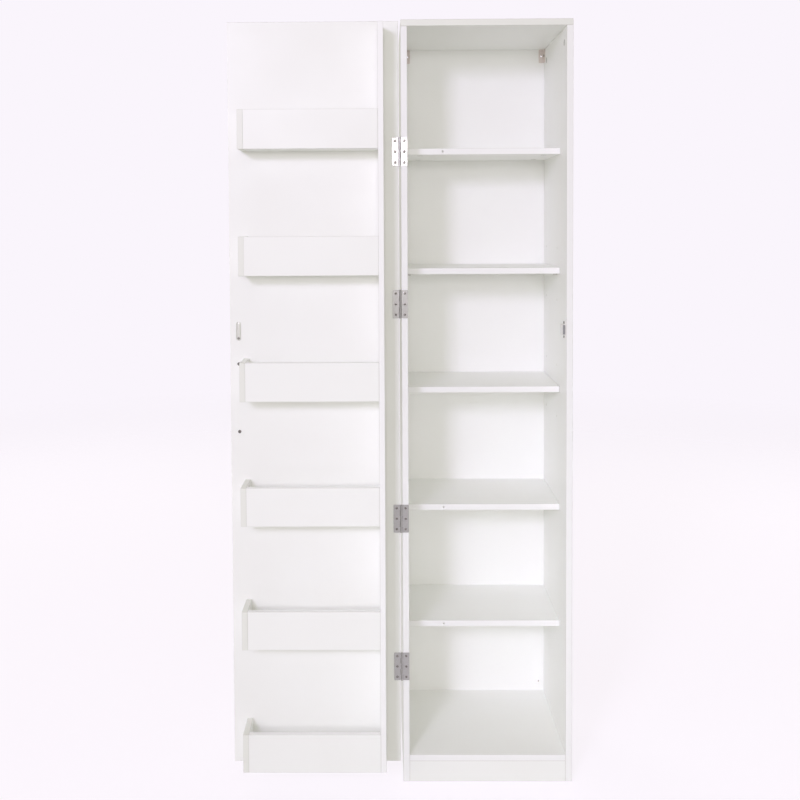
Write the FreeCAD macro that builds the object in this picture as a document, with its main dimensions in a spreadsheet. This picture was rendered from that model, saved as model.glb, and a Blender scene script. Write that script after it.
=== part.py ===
"""Tall pantry cabinet: a coated-chipboard carcass with shelves, and one full-height door that
carries a column of open racks on its inner face.

The door is modelled swung fully open, in line with the carcass's front.  The origin is on the
floor, at the middle of that outline.  X runs along the front from the open door's free edge to
the carcass, Y runs from front to back and Z runs up.  Sizes are in millimetres.
"""
import FreeCAD, Part
import math
import os
import Sketcher
from typing import NamedTuple
from FreeCAD import Placement, Rotation, Vector

# Driving dimensions: each becomes a cell of the spreadsheet "dims" under this name.
DIMENSIONS = {
    # Carcass boards
    "cabinet_width": 400,
    "cabinet_height": 1800,
    "side_depth": 330,
    "board": 15,
    "back_thickness": 3,
    "back_margin": 1,
    "kick_height": 50,
    # Shelves, and the pegs that two of them lie on
    "shelf_pitch": 288.7,
    "shelf_setback": 88,
    "shelf_clearance": 0.5,
    "shelf_mark_inset": 102,
    "mark_diameter": 4,
    "mark_depth": 8,
    "peg_inset": 42,
    "peg_step": 64,
    "peg_diameter": 5,
    "peg_seat": 10,
    "peg_reach": 10,
    "peg_width": 8,
    "peg_plate": 2,
    # Cam locks, their bolts and the wooden dowels
    "cam_diameter": 15,
    "cam_depth": 12,
    "cam_cap": 3,
    "cam_inset": 34,
    "cam_edge_inset": 37,
    "bolt_thread": 5,
    "bolt_seat": 11,
    "bolt_shank": 7,
    "bolt_neck": 4,
    "bolt_head": 4,
    "dowel_diameter": 6,
    "dowel_length": 22,
    "dowel_chamfer": 0.8,
    "dowel_in_face": 8,
    # Nails of the back
    "nail_head": 4,
    "nail_rise": 0.8,
    "nail_shank": 1.6,
    "nail_length": 20,
    "nail_start": 100,
    "nail_step": 200,
    # Corner brackets at the top of the back
    "bracket_leaf": 15,
    "bracket_length": 35,
    "bracket_thickness": 1.5,
    "wall_bore": 5,
    # Door and its hinges
    "door_width": 396,
    "door_height": 1746,
    "hinge_gap": 6,
    "closed_gap": 3,
    "leaf_length": 66,
    "leaf_width": 15,
    "leaf_thickness": 1.2,
    "leaf_screw_step": 25,
    "knuckle_diameter": 5.4,
    "knuckle_play": 0.2,
    "pin_diameter": 2.4,
    "pin_head_diameter": 4.2,
    "pin_head": 0.6,
    "hinge_lowest": 279,
    "hinge_lower": 633,
    "hinge_upper": 1140,
    "hinge_highest": 1495,
    # Racks on the door
    "rack_board": 13,
    "rack_depth": 80,
    "rack_height": 89,
    "rack_pitch": 286.3,
    "rack_start": 66,
    "rack_side_inset": 32,
    "upright_inset": 34,
    "upright_length": 1715,
    # Handle
    "handle_spacing": 160,
    "handle_low": 841,
    "handle_inset": 20,
    "handle_reach": 32,
    "handle_diameter": 10,
    "handle_bend": 12,
    # Magnetic catch on the carcass and its strike on the door
    "catch_height": 1078,
    "catch_width": 11.5,
    "catch_depth": 15,
    "catch_rise": 1,
    "catch_length": 25,
    "ear_length": 41,
    "ear_thickness": 4,
    "ear_screw_step": 16.5,
    "magnet_width": 4,
    "magnet_depth": 10,
    "magnet_length": 22,
    "pole_thickness": 1.2,
    "pole_rise": 0.7,
    "strike_inset": 19.8,
    "strike_width": 11,
    "strike_length": 45,
    "strike_thickness": 1,
    "strike_screw_drop": 16.5,
    # Screws
    "hinge_screw_head": 6,
    "hinge_screw_sink": 1.2,
    "hinge_screw_shank": 3,
    "hinge_screw_length": 14,
    "small_screw_head": 6.5,
    "small_screw_rise": 1.8,
    "small_screw_shank": 3,
    "small_screw_length": 12,
    "strike_screw_head": 5.5,
    "strike_screw_sink": 1,
    "strike_screw_shank": 2.8,
    "strike_screw_length": 12,
    "handle_screw_head": 8,
    "handle_screw_rise": 2,
    "handle_screw_shank": 4,
    "handle_screw_length": 25,
    "drive_depth": 0.8,
    "drive_radius": 1.1,
    # Clearance between a fastener and the wall of its hole
    "fit_gap": 0.05,
}

RACK_COUNT = 6
KNUCKLE_COUNT = 5
SIDE_NAIL_COUNT = 9
ADJUSTABLE_SHELVES = (3, 4)
FIXED_SHELVES = (1, 2, 5)

# Planes of the cabinet, as expressions of the driving dimensions
LEFT = "(dims.door_width + dims.hinge_gap - dims.cabinet_width) / 2"
RIGHT = f"{LEFT} + dims.cabinet_width"
CENTRE = f"{LEFT} + dims.cabinet_width / 2"
INNER_LEFT = f"{LEFT} + dims.board"
INNER_RIGHT = f"{RIGHT} - dims.board"
INNER_WIDTH = "dims.cabinet_width - 2 * dims.board"
FRONT = "(dims.rack_depth - dims.side_depth - dims.back_thickness) / 2"
BACK = f"{FRONT} + dims.side_depth"
TOP_UNDERSIDE = "dims.cabinet_height - dims.board"
DOOR_EDGE = f"{LEFT} - dims.hinge_gap"
DOOR_FREE_EDGE = f"{DOOR_EDGE} - dims.door_width"
HINGE_X = f"{LEFT} - dims.hinge_gap / 2"
HINGE_Y = f"{FRONT} - dims.closed_gap / 2"
UPRIGHT_INNER = f"{DOOR_EDGE} - dims.upright_inset - dims.rack_board"
RACK_SIDE = f"{DOOR_FREE_EDGE} + dims.rack_side_inset"
RACK_SIDE_INNER = f"{RACK_SIDE} + dims.rack_board"
RACK_WIDTH = f"{UPRIGHT_INNER} - ({RACK_SIDE_INNER})"
RACK_FRONT = f"{FRONT} - dims.rack_depth"
HANDLE_X = f"{DOOR_FREE_EDGE} + dims.handle_inset"

ORIGIN = ("0", "0", "0")
PLUS_X = Vector(1, 0, 0)
MINUS_X = Vector(-1, 0, 0)
PLUS_Y = Vector(0, 1, 0)
MINUS_Y = Vector(0, -1, 0)
PLUS_Z = Vector(0, 0, 1)

doc = FreeCAD.newDocument("pantry_cabinet")
sheet = doc.addObject("Spreadsheet::Sheet", "dims")
for row, (alias, number) in enumerate(DIMENSIONS.items(), start=1):
    sheet.set(f"B{row}", str(number))
    sheet.setAlias(f"B{row}", alias)
doc.recompute()

pieces = []
drilled = []


# ---------------------------------------------------------------- drawing and placing

def value(expression):
    """Work out an expression of the driving dimensions."""
    return float(sheet.evalExpression(expression))


def sketch_on(body, role, name):
    """Start a sketch on one of a body's own origin planes."""
    sketch = body.newObject("Sketcher::SketchObject", name)
    plane = next(feature for feature in body.Origin.OriginFeatures if feature.Role == role)
    sketch.AttachmentSupport = (plane, "")
    sketch.MapMode = "FlatFace"
    return sketch


def bind(sketch, constraint, expression):
    """Add a driving constraint to a sketch and bind it to an expression."""
    index = sketch.addConstraint(Sketcher.Constraint(*constraint, value(expression)))
    sketch.setExpression(f"Constraints[{index}]", expression)


def bind_point(sketch, edge, end, x, y):
    """Bind one end of an edge to a place measured from the sketch's origin."""
    bind(sketch, ("DistanceX", -1, 1, edge, end), x)
    bind(sketch, ("DistanceY", -1, 1, edge, end), y)


def draw_outline(sketch, outline):
    """Draw a closed outline of straight edges through corners given as expressions."""
    corners = [Vector(value(x), value(y), 0) for x, y in outline]
    count = len(corners)
    for index in range(count):
        sketch.addGeometry(Part.LineSegment(corners[index], corners[(index + 1) % count]), False)
    for index in range(count):
        sketch.addConstraint(Sketcher.Constraint("Coincident", index, 2, (index + 1) % count, 1))
    for index, (x, y) in enumerate(outline):
        bind_point(sketch, index, 1, x, y)


def turned(name, outline):
    """Make a body by turning an outline of (radius, height) corners about Z."""
    body = doc.addObject("PartDesign::Body", name)
    sketch = sketch_on(body, "XZ_Plane", f"{name}_outline")
    draw_outline(sketch, outline)
    turn = body.newObject("PartDesign::Revolution", f"{name}_turn")
    turn.Profile = sketch
    turn.ReferenceAxis = (sketch, ["V_Axis"])
    turn.Angle = 360
    return body


def box(name, size, position=ORIGIN):
    """Make a box from three size expressions and the place of its lowest corner."""
    solid = doc.addObject("Part::Box", name)
    for side, expression in zip(("Length", "Width", "Height"), size):
        solid.setExpression(side, expression)
    place(solid, position)
    return solid


def cylinder(name, diameter, height, position=ORIGIN, rotation=Rotation()):
    """Make a cylinder that runs along its own Z from a position."""
    solid = doc.addObject("Part::Cylinder", name)
    solid.setExpression("Radius", f"{diameter} / 2")
    solid.setExpression("Height", height)
    place(solid, position, rotation)
    return solid


def fused(name, parts):
    """Join overlapping solids into one."""
    fusion = doc.addObject("Part::MultiFuse", name)
    fusion.Shapes = parts
    return fusion


def cut(name, base, tool):
    """Take one solid away from another."""
    remainder = doc.addObject("Part::Cut", name)
    remainder.Base = base
    remainder.Tool = tool
    drilled.append((base, remainder))
    return remainder


def place(item, position, rotation=Rotation()):
    """Turn an item, then bind its place to three expressions."""
    item.Placement = Placement(Vector(), rotation)
    for axis, expression in zip("xyz", position):
        item.setExpression(f"Placement.Base.{axis}", expression)


# ---------------------------------------------------------------- fasteners and their holes

class Fastener:
    """A fastener that is driven along +Z from Z = 0, and the hole that it needs."""

    def __init__(self, name, hole, solid=None):
        self.hole = turned(f"{name}_hole", hole)
        self.solid = solid


class Spot(NamedTuple):
    """A place where a fastener is driven: its kind, its position and its turn."""

    kind: Fastener
    position: tuple
    rotation: Rotation


def along(direction):
    """The turn that points a fastener's own +Z along a direction."""
    return Rotation(PLUS_Z, direction)


def spots(kind, positions, direction):
    """Places for fasteners of one kind that are all driven the same way."""
    return [Spot(kind, position, along(direction)) for position in positions]


def loosened(outline):
    """The outline of a hole that clears a fastener's outline by the fit gap."""
    corners = [("0", outline[0][1])]
    for radius, height in outline:
        wide = radius if radius == "0" else f"{radius} + dims.fit_gap"
        deep = height if height == "0" or height.startswith("-") else f"{height} + dims.fit_gap"
        corners.append((wide, deep))
    return corners


def bore(name, diameter, depth):
    """A plain round hole with no fastener of its own."""
    radius = f"{diameter} / 2"
    return Fastener(name, [("0", "0"), (radius, "0"), (radius, depth), ("0", depth)])


def screw_shank(name):
    """The lower outline of a screw: its shank and its point."""
    radius = f"dims.{name}_shank / 2"
    length = f"dims.{name}_length"
    return [(radius, f"{length} - {radius}"), ("0", length)]


def countersunk_screw(name):
    """A screw whose head lies flush with the surface, with a driver recess."""
    outline = [(f"dims.{name}_head / 2", "0"), (f"dims.{name}_shank / 2", f"dims.{name}_sink")]
    outline += screw_shank(name)
    recess = [("0", "dims.drive_depth"), ("dims.drive_radius", "0")]
    return Fastener(name, loosened(outline), turned(name, recess + outline))


def pan_head_screw(name):
    """A screw whose head stands on the surface, with a driver recess."""
    head = f"dims.{name}_head / 2"
    top = f"-dims.{name}_rise"
    outline = [(f"0.75 * {head}", top), (head, f"{top} / 2"), (head, "0")]
    outline += [(f"dims.{name}_shank / 2", "0")] + screw_shank(name)
    recess = [("0", f"{top} + dims.drive_depth"), ("dims.drive_radius", top)]
    return Fastener(name, loosened(outline), turned(name, recess + outline))


def make_nail():
    """A short flat-headed nail."""
    head = "dims.nail_head / 2"
    shank = "dims.nail_shank / 2"
    outline = [
        (head, "-dims.nail_rise"), (head, "0"), (shank, "0"),
        (shank, f"dims.nail_length - {shank}"), ("0", "dims.nail_length"),
    ]
    return Fastener("nail", loosened(outline), turned("nail", [("0", "-dims.nail_rise")] + outline))


def make_dowel():
    """A wooden dowel with chamfered ends."""
    radius = "dims.dowel_diameter / 2"
    tip = f"{radius} - dims.dowel_chamfer"
    length = "dims.dowel_length"
    outline = [
        (tip, "0"), (radius, "dims.dowel_chamfer"), (radius, f"{length} - dims.dowel_chamfer"),
        (tip, length), ("0", length),
    ]
    clear = f"{radius} + dims.fit_gap"
    deep = f"{length} + dims.fit_gap"
    hole = [("0", "-dims.fit_gap"), (clear, "-dims.fit_gap"), (clear, deep), ("0", deep)]
    return Fastener("dowel", hole, turned("dowel", [("0", "0")] + outline))


def make_cam_bolt():
    """The bolt of a cam lock: a thread for one board's face, and a shank, neck and head."""
    thread = "dims.bolt_thread / 2"
    shank = "dims.bolt_shank / 2"
    neck = "dims.bolt_neck / 2"
    head_end = "dims.bolt_seat + dims.cam_inset + dims.bolt_head / 2"
    head_start = f"{head_end} - dims.bolt_head"
    neck_start = f"{head_start} - dims.bolt_head"
    outline = [
        ("0", "0"), (thread, "0"), (thread, "dims.bolt_seat"), (shank, "dims.bolt_seat"),
        (shank, neck_start), (neck, neck_start), (neck, head_start), (shank, head_start),
        (shank, head_end), ("0", head_end),
    ]
    wide = f"{shank} + 10 * dims.fit_gap"
    snug = f"{thread} + dims.fit_gap"
    hole = [
        ("0", "0"), (snug, "0"), (snug, "dims.bolt_seat"), (wide, "dims.bolt_seat"),
        (wide, f"{head_end} + dims.bolt_shank / 2"), ("0", f"{head_end} + dims.bolt_shank / 2"),
    ]
    return Fastener("cam_bolt", hole, turned("cam_bolt", outline))


def make_cam():
    """A cam housing, slotted from its own +X side so that the bolt's head can enter it."""
    radius = "dims.cam_diameter / 2"
    clear = f"{radius} + dims.fit_gap"
    deep = "dims.cam_depth + dims.fit_gap"
    disc = cylinder("cam_disc", "dims.cam_diameter", "dims.cam_depth")
    slot_width = "dims.bolt_shank + 20 * dims.fit_gap"
    slot = box(
        "cam_slot",
        (f"{radius} + {slot_width} / 2 + 1", slot_width, "dims.cam_depth - dims.cam_cap - 1"),
        (f"-({slot_width}) / 2", f"-({slot_width}) / 2", "dims.cam_cap"),
    )
    hole = [("0", "0"), (clear, "0"), (clear, deep), ("0", deep)]
    return Fastener("cam", hole, cut("cam", disc, slot))


def make_hinge_pin():
    """A hinge pin with a small head at each end."""
    pin = "dims.pin_diameter / 2"
    head = "dims.pin_head_diameter / 2"
    length = "dims.leaf_length"
    outline = [
        ("0", "-dims.pin_head"), (head, "-dims.pin_head"), (head, "0"), (pin, "0"),
        (pin, length), (head, length), (head, f"{length} + dims.pin_head"),
        ("0", f"{length} + dims.pin_head"),
    ]
    clear = f"{pin} + dims.fit_gap"
    hole = [("0", "0"), (clear, "0"), (clear, length), ("0", length)]
    return Fastener("hinge_pin", hole, turned("hinge_pin", outline))


def make_shelf_peg():
    """A shelf peg: a round pin in the side panel and a flat plate under the shelf."""
    pin = cylinder(
        "peg_pin", "dims.peg_diameter", "dims.peg_seat + dims.peg_reach",
        ("0", "0", "-dims.peg_reach"),
    )
    plate = box(
        "peg_plate",
        ("dims.peg_plate", "dims.peg_width", "dims.peg_reach"),
        ("dims.peg_diameter / 2 - dims.peg_plate", "-dims.peg_width / 2", "-dims.peg_reach"),
    )
    clear = "dims.peg_diameter / 2 + dims.fit_gap"
    deep = "dims.peg_seat + dims.fit_gap"
    hole = [("0", "0"), (clear, "0"), (clear, deep), ("0", deep)]
    return Fastener("peg", hole, fused("peg", [pin, plate]))


def linked(target, name, position, rotation, origin=ORIGIN):
    """A copy of a pattern, placed in the frame whose origin is given."""
    link = doc.addObject("App::Link", name)
    link.LinkedObject = target
    place(link, [f"({end}) - ({start})" for end, start in zip(position, origin)], rotation)
    return link


def compound(name, members):
    """Hold several separate solids together as one object."""
    group = doc.addObject("Part::Compound", name)
    group.Links = members
    return group


def piece(label, blank, position, holes=()):
    """Finish a sub-part: drill its blank for each fastener, label it and place it."""
    item = blank
    if holes:
        tools = [
            linked(spot.kind.hole, f"{label}_hole", spot.position, spot.rotation, position)
            for spot in holes
        ]
        item = cut(label, blank, compound(f"{label}_holes", tools))
    item.Label = label
    place(item, position)
    pieces.append(item)


def board(label, size, position, holes=()):
    """Finish a sub-part that is a plain rectangular board."""
    piece(label, box(f"{label}_blank", size), position, holes)


def fasteners(label, places):
    """Finish a sub-part that is a set of identical fasteners."""
    copies = [
        linked(spot.kind.solid, f"{label}_copy", spot.position, spot.rotation) for spot in places
    ]
    group = compound(label, copies)
    group.Label = label
    pieces.append(group)


cam = make_cam()
cam_bolt = make_cam_bolt()
dowel = make_dowel()
nail = make_nail()
peg = make_shelf_peg()
hinge_pin = make_hinge_pin()
hinge_screw = countersunk_screw("hinge_screw")
strike_screw = countersunk_screw("strike_screw")
small_screw = pan_head_screw("small_screw")
handle_screw = pan_head_screw("handle_screw")
edge_mark = bore("edge_mark", "dims.mark_diameter", "dims.mark_depth")
back_mark = bore("back_mark", "dims.mark_diameter", "dims.back_thickness")
wall_bore = bore("wall_bore", "dims.wall_bore", "dims.back_thickness + dims.bracket_thickness")


# ---------------------------------------------------------------- carcass

def shelf_height(number):
    """Height of a shelf's underside; number 0 is the bottom panel."""
    return f"dims.kick_height + {number} * dims.shelf_pitch"


def board_middle(underside):
    """Height of the middle of a carcass board that lies at a height."""
    return f"{underside} + dims.board / 2"


def level_joint(underside, front):
    """Cams, bolts and dowels that hold a level board between the two side panels."""
    middle = board_middle(underside)
    depths = [f"{front} + dims.cam_edge_inset", f"{BACK} - dims.cam_edge_inset"]
    cams = []
    bolts = []
    for depth in depths:
        for face, inward in ((INNER_LEFT, 1), (INNER_RIGHT, -1)):
            direction = Vector(inward, 0, 0)
            seat = (f"{face} - {inward} * dims.bolt_seat", depth, middle)
            bolts.append(Spot(cam_bolt, seat, along(direction)))
            turn = Rotation(-direction, Vector(), PLUS_Z, "ZXY")
            cams.append(Spot(cam, (f"{face} + {inward} * dims.cam_inset", depth, underside), turn))
    between = f"({front} + {BACK}) / 2"
    dowels = spots(dowel, [(f"{INNER_LEFT} - dims.dowel_in_face", between, middle)], PLUS_X)
    dowels += spots(dowel, [(f"{INNER_RIGHT} + dims.dowel_in_face", between, middle)], MINUS_X)
    return cams, bolts, dowels


def top_joint():
    """Cams, bolts and dowels that hold the top panel on the two side panels."""
    depths = [f"{FRONT} + dims.cam_edge_inset", f"{BACK} - dims.cam_edge_inset"]
    cam_height = f"{TOP_UNDERSIDE} - dims.cam_inset"
    cams = []
    bolts = []
    dowels = []
    for face, outward in ((INNER_LEFT, MINUS_X), (INNER_RIGHT, PLUS_X)):
        middle = f"{face} + {outward.x} * dims.board / 2"
        for depth in depths:
            seat = (middle, depth, f"{TOP_UNDERSIDE} + dims.bolt_seat")
            bolts.append(Spot(cam_bolt, seat, along(-PLUS_Z)))
            turn = Rotation(PLUS_Z, Vector(), outward, "ZXY")
            cams.append(Spot(cam, (face, depth, cam_height), turn))
        seat = (middle, f"({FRONT} + {BACK}) / 2", f"{TOP_UNDERSIDE} + dims.dowel_in_face")
        dowels += spots(dowel, [seat], -PLUS_Z)
    return cams, bolts, dowels


def kick_dowels():
    """Dowels at both ends of the kick board, one above the other."""
    depth = f"{FRONT} + dims.board / 2"
    heights = ["dims.kick_height / 4", "dims.kick_height * 3 / 4"]
    left = [(f"{INNER_LEFT} - dims.dowel_in_face", depth, height) for height in heights]
    right = [(f"{INNER_RIGHT} + dims.dowel_in_face", depth, height) for height in heights]
    return spots(dowel, left, PLUS_X) + spots(dowel, right, MINUS_X)


def peg_rows(number):
    """Peg holes for one adjustable shelf: three rows at each corner, the shelf on the middle."""
    rows = {}
    depths = [
        f"{FRONT} + dims.shelf_setback + dims.peg_inset",
        f"{BACK} - dims.peg_inset",
    ]
    for row in (-1, 0, 1):
        height = f"{shelf_height(number)} - dims.peg_diameter / 2 + {row} * dims.peg_step"
        rows[row] = []
        for face, outward in ((INNER_LEFT, MINUS_X), (INNER_RIGHT, PLUS_X)):
            turn = Rotation(PLUS_Z, Vector(), outward, "ZXY")
            rows[row] += [Spot(peg, (face, depth, height), turn) for depth in depths]
    return rows


def back_nails():
    """Nails around the back panel and into each fixed board."""
    rear = f"{BACK} + dims.back_thickness"
    places = []
    for step in range(SIDE_NAIL_COUNT):
        height = f"dims.nail_start + {step} * dims.nail_step"
        places.append((f"{LEFT} + dims.board / 2", rear, height))
        places.append((f"{RIGHT} - dims.board / 2", rear, height))
    for underside in (shelf_height(0), TOP_UNDERSIDE):
        for offset in (-0.3, 0, 0.3):
            across = f"{CENTRE} + {offset} * dims.cabinet_width"
            places.append((across, rear, board_middle(underside)))
    for number in FIXED_SHELVES:
        places.append((CENTRE, rear, board_middle(shelf_height(number))))
    return spots(nail, places, MINUS_Y)


def bracket_holes(corner, inward):
    """The screw in a bracket's side leaf and the wall bore in its back leaf."""
    height = f"{TOP_UNDERSIDE} - dims.bracket_length / 2"
    middle = "(dims.bracket_leaf + dims.bracket_thickness) / 2"
    seat = f"{corner} + {inward} * dims.bracket_thickness"
    screw = spots(small_screw, [(seat, f"{BACK} - {middle}", height)], Vector(-inward, 0, 0))
    inner = f"{BACK} - dims.bracket_thickness"
    wall = spots(wall_bore, [(f"{corner} + {inward} * {middle}", inner, height)], PLUS_Y)
    return screw, wall


def select(places, toward_right):
    """The fasteners of a joint that lie on one side of the cabinet's middle."""
    middle = value(CENTRE)
    return [spot for spot in places if (value(spot.position[0]) > middle) == toward_right]


def at_level(places, level):
    """The nails that go into the level board whose middle is at a height."""
    return [spot for spot in places if spot.position[2] == level]


cams, bolts, dowels = [], [], []
level_holes = {}
for number in (0,) + FIXED_SHELVES:
    front = FRONT if number == 0 else f"{FRONT} + dims.shelf_setback"
    level_cams, level_bolts, level_dowels = level_joint(shelf_height(number), front)
    level_holes[number] = level_cams + level_bolts + level_dowels
    cams += level_cams
    bolts += level_bolts
    dowels += level_dowels
top_cams, top_bolts, top_dowels = top_joint()
kick = kick_dowels()
nails = back_nails()
pegs = []
peg_holes = []
for number in ADJUSTABLE_SHELVES:
    rows = peg_rows(number)
    pegs += rows[0]
    peg_holes += rows[-1] + rows[0] + rows[1]
left_bracket_screw, left_wall = bracket_holes(INNER_LEFT, 1)
right_bracket_screw, right_wall = bracket_holes(INNER_RIGHT, -1)

HINGE_HEIGHTS = ["dims.hinge_lowest", "dims.hinge_lower", "dims.hinge_upper", "dims.hinge_highest"]


def leaf_screws(side, height):
    """Screws of one hinge leaf: side is 1 for the leaf on the carcass, -1 for the door's."""
    across = f"{HINGE_X} + {side} * (dims.hinge_gap + dims.leaf_width) / 2"
    seat = f"{FRONT} - dims.leaf_thickness"
    steps = (-1, 0, 1)
    places = [(across, seat, f"{height} + {step} * dims.leaf_screw_step") for step in steps]
    return spots(hinge_screw, places, PLUS_Y)


carcass_leaf_screws = [spot for height in HINGE_HEIGHTS for spot in leaf_screws(1, height)]
door_leaf_screws = [spot for height in HINGE_HEIGHTS for spot in leaf_screws(-1, height)]
catch_seat = f"{INNER_RIGHT} - dims.ear_thickness"
catch_middle = f"{FRONT} - dims.catch_rise + dims.catch_depth / 2"
catch_screws = spots(
    small_screw,
    [
        (catch_seat, catch_middle, f"dims.catch_height + {end} * dims.ear_screw_step")
        for end in (-1, 1)
    ],
    PLUS_X,
)

SIDE_SIZE = ("dims.board", "dims.side_depth", TOP_UNDERSIDE)
side_nails = nails[: 2 * SIDE_NAIL_COUNT]
level_fasteners = bolts + dowels + kick + peg_holes
shared = level_fasteners + top_cams + top_bolts + top_dowels + side_nails
board(
    "left_side_panel", SIDE_SIZE, (LEFT, FRONT, "0"),
    select(shared, False) + left_bracket_screw + carcass_leaf_screws,
)
board(
    "right_side_panel", SIDE_SIZE, (INNER_RIGHT, FRONT, "0"),
    select(shared, True) + right_bracket_screw + catch_screws,
)
board(
    "top_panel", ("dims.cabinet_width", "dims.side_depth", "dims.board"),
    (LEFT, FRONT, TOP_UNDERSIDE),
    top_bolts + top_dowels + at_level(nails, board_middle(TOP_UNDERSIDE)),
)
board(
    "bottom_panel", (INNER_WIDTH, "dims.side_depth", "dims.board"),
    (INNER_LEFT, FRONT, "dims.kick_height"),
    level_holes[0] + at_level(nails, board_middle(shelf_height(0))),
)
board("kick_board", (INNER_WIDTH, "dims.board", "dims.kick_height"), (INNER_LEFT, FRONT, "0"), kick)

right_corner_mark = (f"{INNER_RIGHT} - 14", BACK, f"{shelf_height(0)} + dims.board + 25")
board(
    "back_panel",
    (
        "dims.cabinet_width - 2 * dims.back_margin",
        "dims.back_thickness",
        "dims.cabinet_height - dims.kick_height - dims.back_margin",
    ),
    (f"{LEFT} + dims.back_margin", BACK, "dims.kick_height"),
    nails + left_wall + right_wall + spots(back_mark, [right_corner_mark], PLUS_Y),
)

for number in FIXED_SHELVES:
    middle = board_middle(shelf_height(number))
    shelf_front = f"{FRONT} + dims.shelf_setback"
    mark = spots(edge_mark, [(f"{LEFT} + dims.shelf_mark_inset", shelf_front, middle)], PLUS_Y)
    board(
        f"shelf_{number}_fixed",
        (INNER_WIDTH, "dims.side_depth - dims.shelf_setback", "dims.board"),
        (INNER_LEFT, shelf_front, shelf_height(number)),
        level_holes[number] + mark + at_level(nails, middle),
    )
for number in ADJUSTABLE_SHELVES:
    board(
        f"shelf_{number}_adjustable",
        (
            f"{INNER_WIDTH} - 2 * dims.shelf_clearance",
            "dims.side_depth - dims.shelf_setback - 2 * dims.shelf_clearance",
            "dims.board",
        ),
        (
            f"{INNER_LEFT} + dims.shelf_clearance",
            f"{FRONT} + dims.shelf_setback",
            shelf_height(number),
        ),
    )
fasteners("shelf_pegs", pegs)
fasteners("cam_locks", cams + top_cams)
fasteners("cam_bolts", bolts + top_bolts)
fasteners("carcass_dowels", dowels + top_dowels + kick)
fasteners("back_nails", nails)


def corner_bracket(label, corner, inward, holes):
    """An angle bracket in a top rear corner, with one leaf on the side and one on the back."""
    blank = doc.addObject("PartDesign::Body", f"{label}_blank")
    sketch = sketch_on(blank, "XY_Plane", f"{label}_outline")
    leaf = f"{inward} * dims.bracket_leaf"
    thick = f"{inward} * dims.bracket_thickness"
    draw_outline(sketch, [
        ("0", "0"), (leaf, "0"), (leaf, "-dims.bracket_thickness"),
        (thick, "-dims.bracket_thickness"), (thick, "-dims.bracket_leaf"), ("0", "-dims.bracket_leaf"),
    ])
    pad = blank.newObject("PartDesign::Pad", f"{label}_pad")
    pad.Profile = sketch
    pad.setExpression("Length", "dims.bracket_length")
    piece(label, blank, (corner, BACK, f"{TOP_UNDERSIDE} - dims.bracket_length"), holes)


corner_bracket("corner_bracket_left", INNER_LEFT, 1, left_bracket_screw + left_wall)
corner_bracket("corner_bracket_right", INNER_RIGHT, -1, right_bracket_screw + right_wall)
fasteners("bracket_screws", left_bracket_screw + right_bracket_screw)


# ---------------------------------------------------------------- magnetic catch

CATCH_FRONT = f"{FRONT} - dims.catch_rise"
CAVITY_WIDTH = "(dims.magnet_width + 2 * dims.pole_thickness)"


def catch_housing():
    """The catch's moulded housing: a block with two screwed ears and a pocket in its front."""
    block = box("catch_block", ("dims.catch_width", "dims.catch_depth", "dims.catch_length"))
    ears = box(
        "catch_ears",
        ("dims.ear_thickness", "dims.catch_depth - 2 * dims.catch_rise", "dims.ear_length"),
        (
            "dims.catch_width - dims.ear_thickness", "dims.catch_rise",
            "(dims.catch_length - dims.ear_length) / 2",
        ),
    )
    gap = "2 * dims.fit_gap"
    pocket = box(
        "catch_pocket",
        (
            f"{CAVITY_WIDTH} + {gap}",
            "dims.magnet_depth + dims.catch_rise + dims.fit_gap",
            f"dims.magnet_length + {gap}",
        ),
        (
            f"(dims.catch_width - {CAVITY_WIDTH} - {gap}) / 2", "0",
            f"(dims.catch_length - dims.magnet_length - {gap}) / 2",
        ),
    )
    return cut("catch_housing_blank", fused("catch_body", [block, ears]), pocket)


catch_position = (
    f"{INNER_RIGHT} - dims.catch_width", CATCH_FRONT, "dims.catch_height - dims.catch_length / 2",
)
piece("catch_housing", catch_housing(), catch_position, catch_screws)
magnet_x = f"{INNER_RIGHT} - (dims.catch_width + dims.magnet_width) / 2"
magnet_z = "dims.catch_height - dims.magnet_length / 2"
board(
    "catch_magnet", ("dims.magnet_width", "dims.magnet_depth", "dims.magnet_length"),
    (magnet_x, FRONT, magnet_z),
)
pole_depth = "dims.magnet_depth + dims.catch_rise + dims.pole_rise"
pole_size = ("dims.pole_thickness", pole_depth, "dims.magnet_length")
poles = [
    box("left_pole", pole_size),
    box("right_pole", pole_size, ("dims.magnet_width + dims.pole_thickness", "0", "0")),
]
piece(
    "catch_pole_plates", compound("catch_poles", poles),
    (f"{magnet_x} - dims.pole_thickness", f"{CATCH_FRONT} - dims.pole_rise", magnet_z),
)
fasteners("catch_screws", catch_screws)


# ---------------------------------------------------------------- hinges

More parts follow.
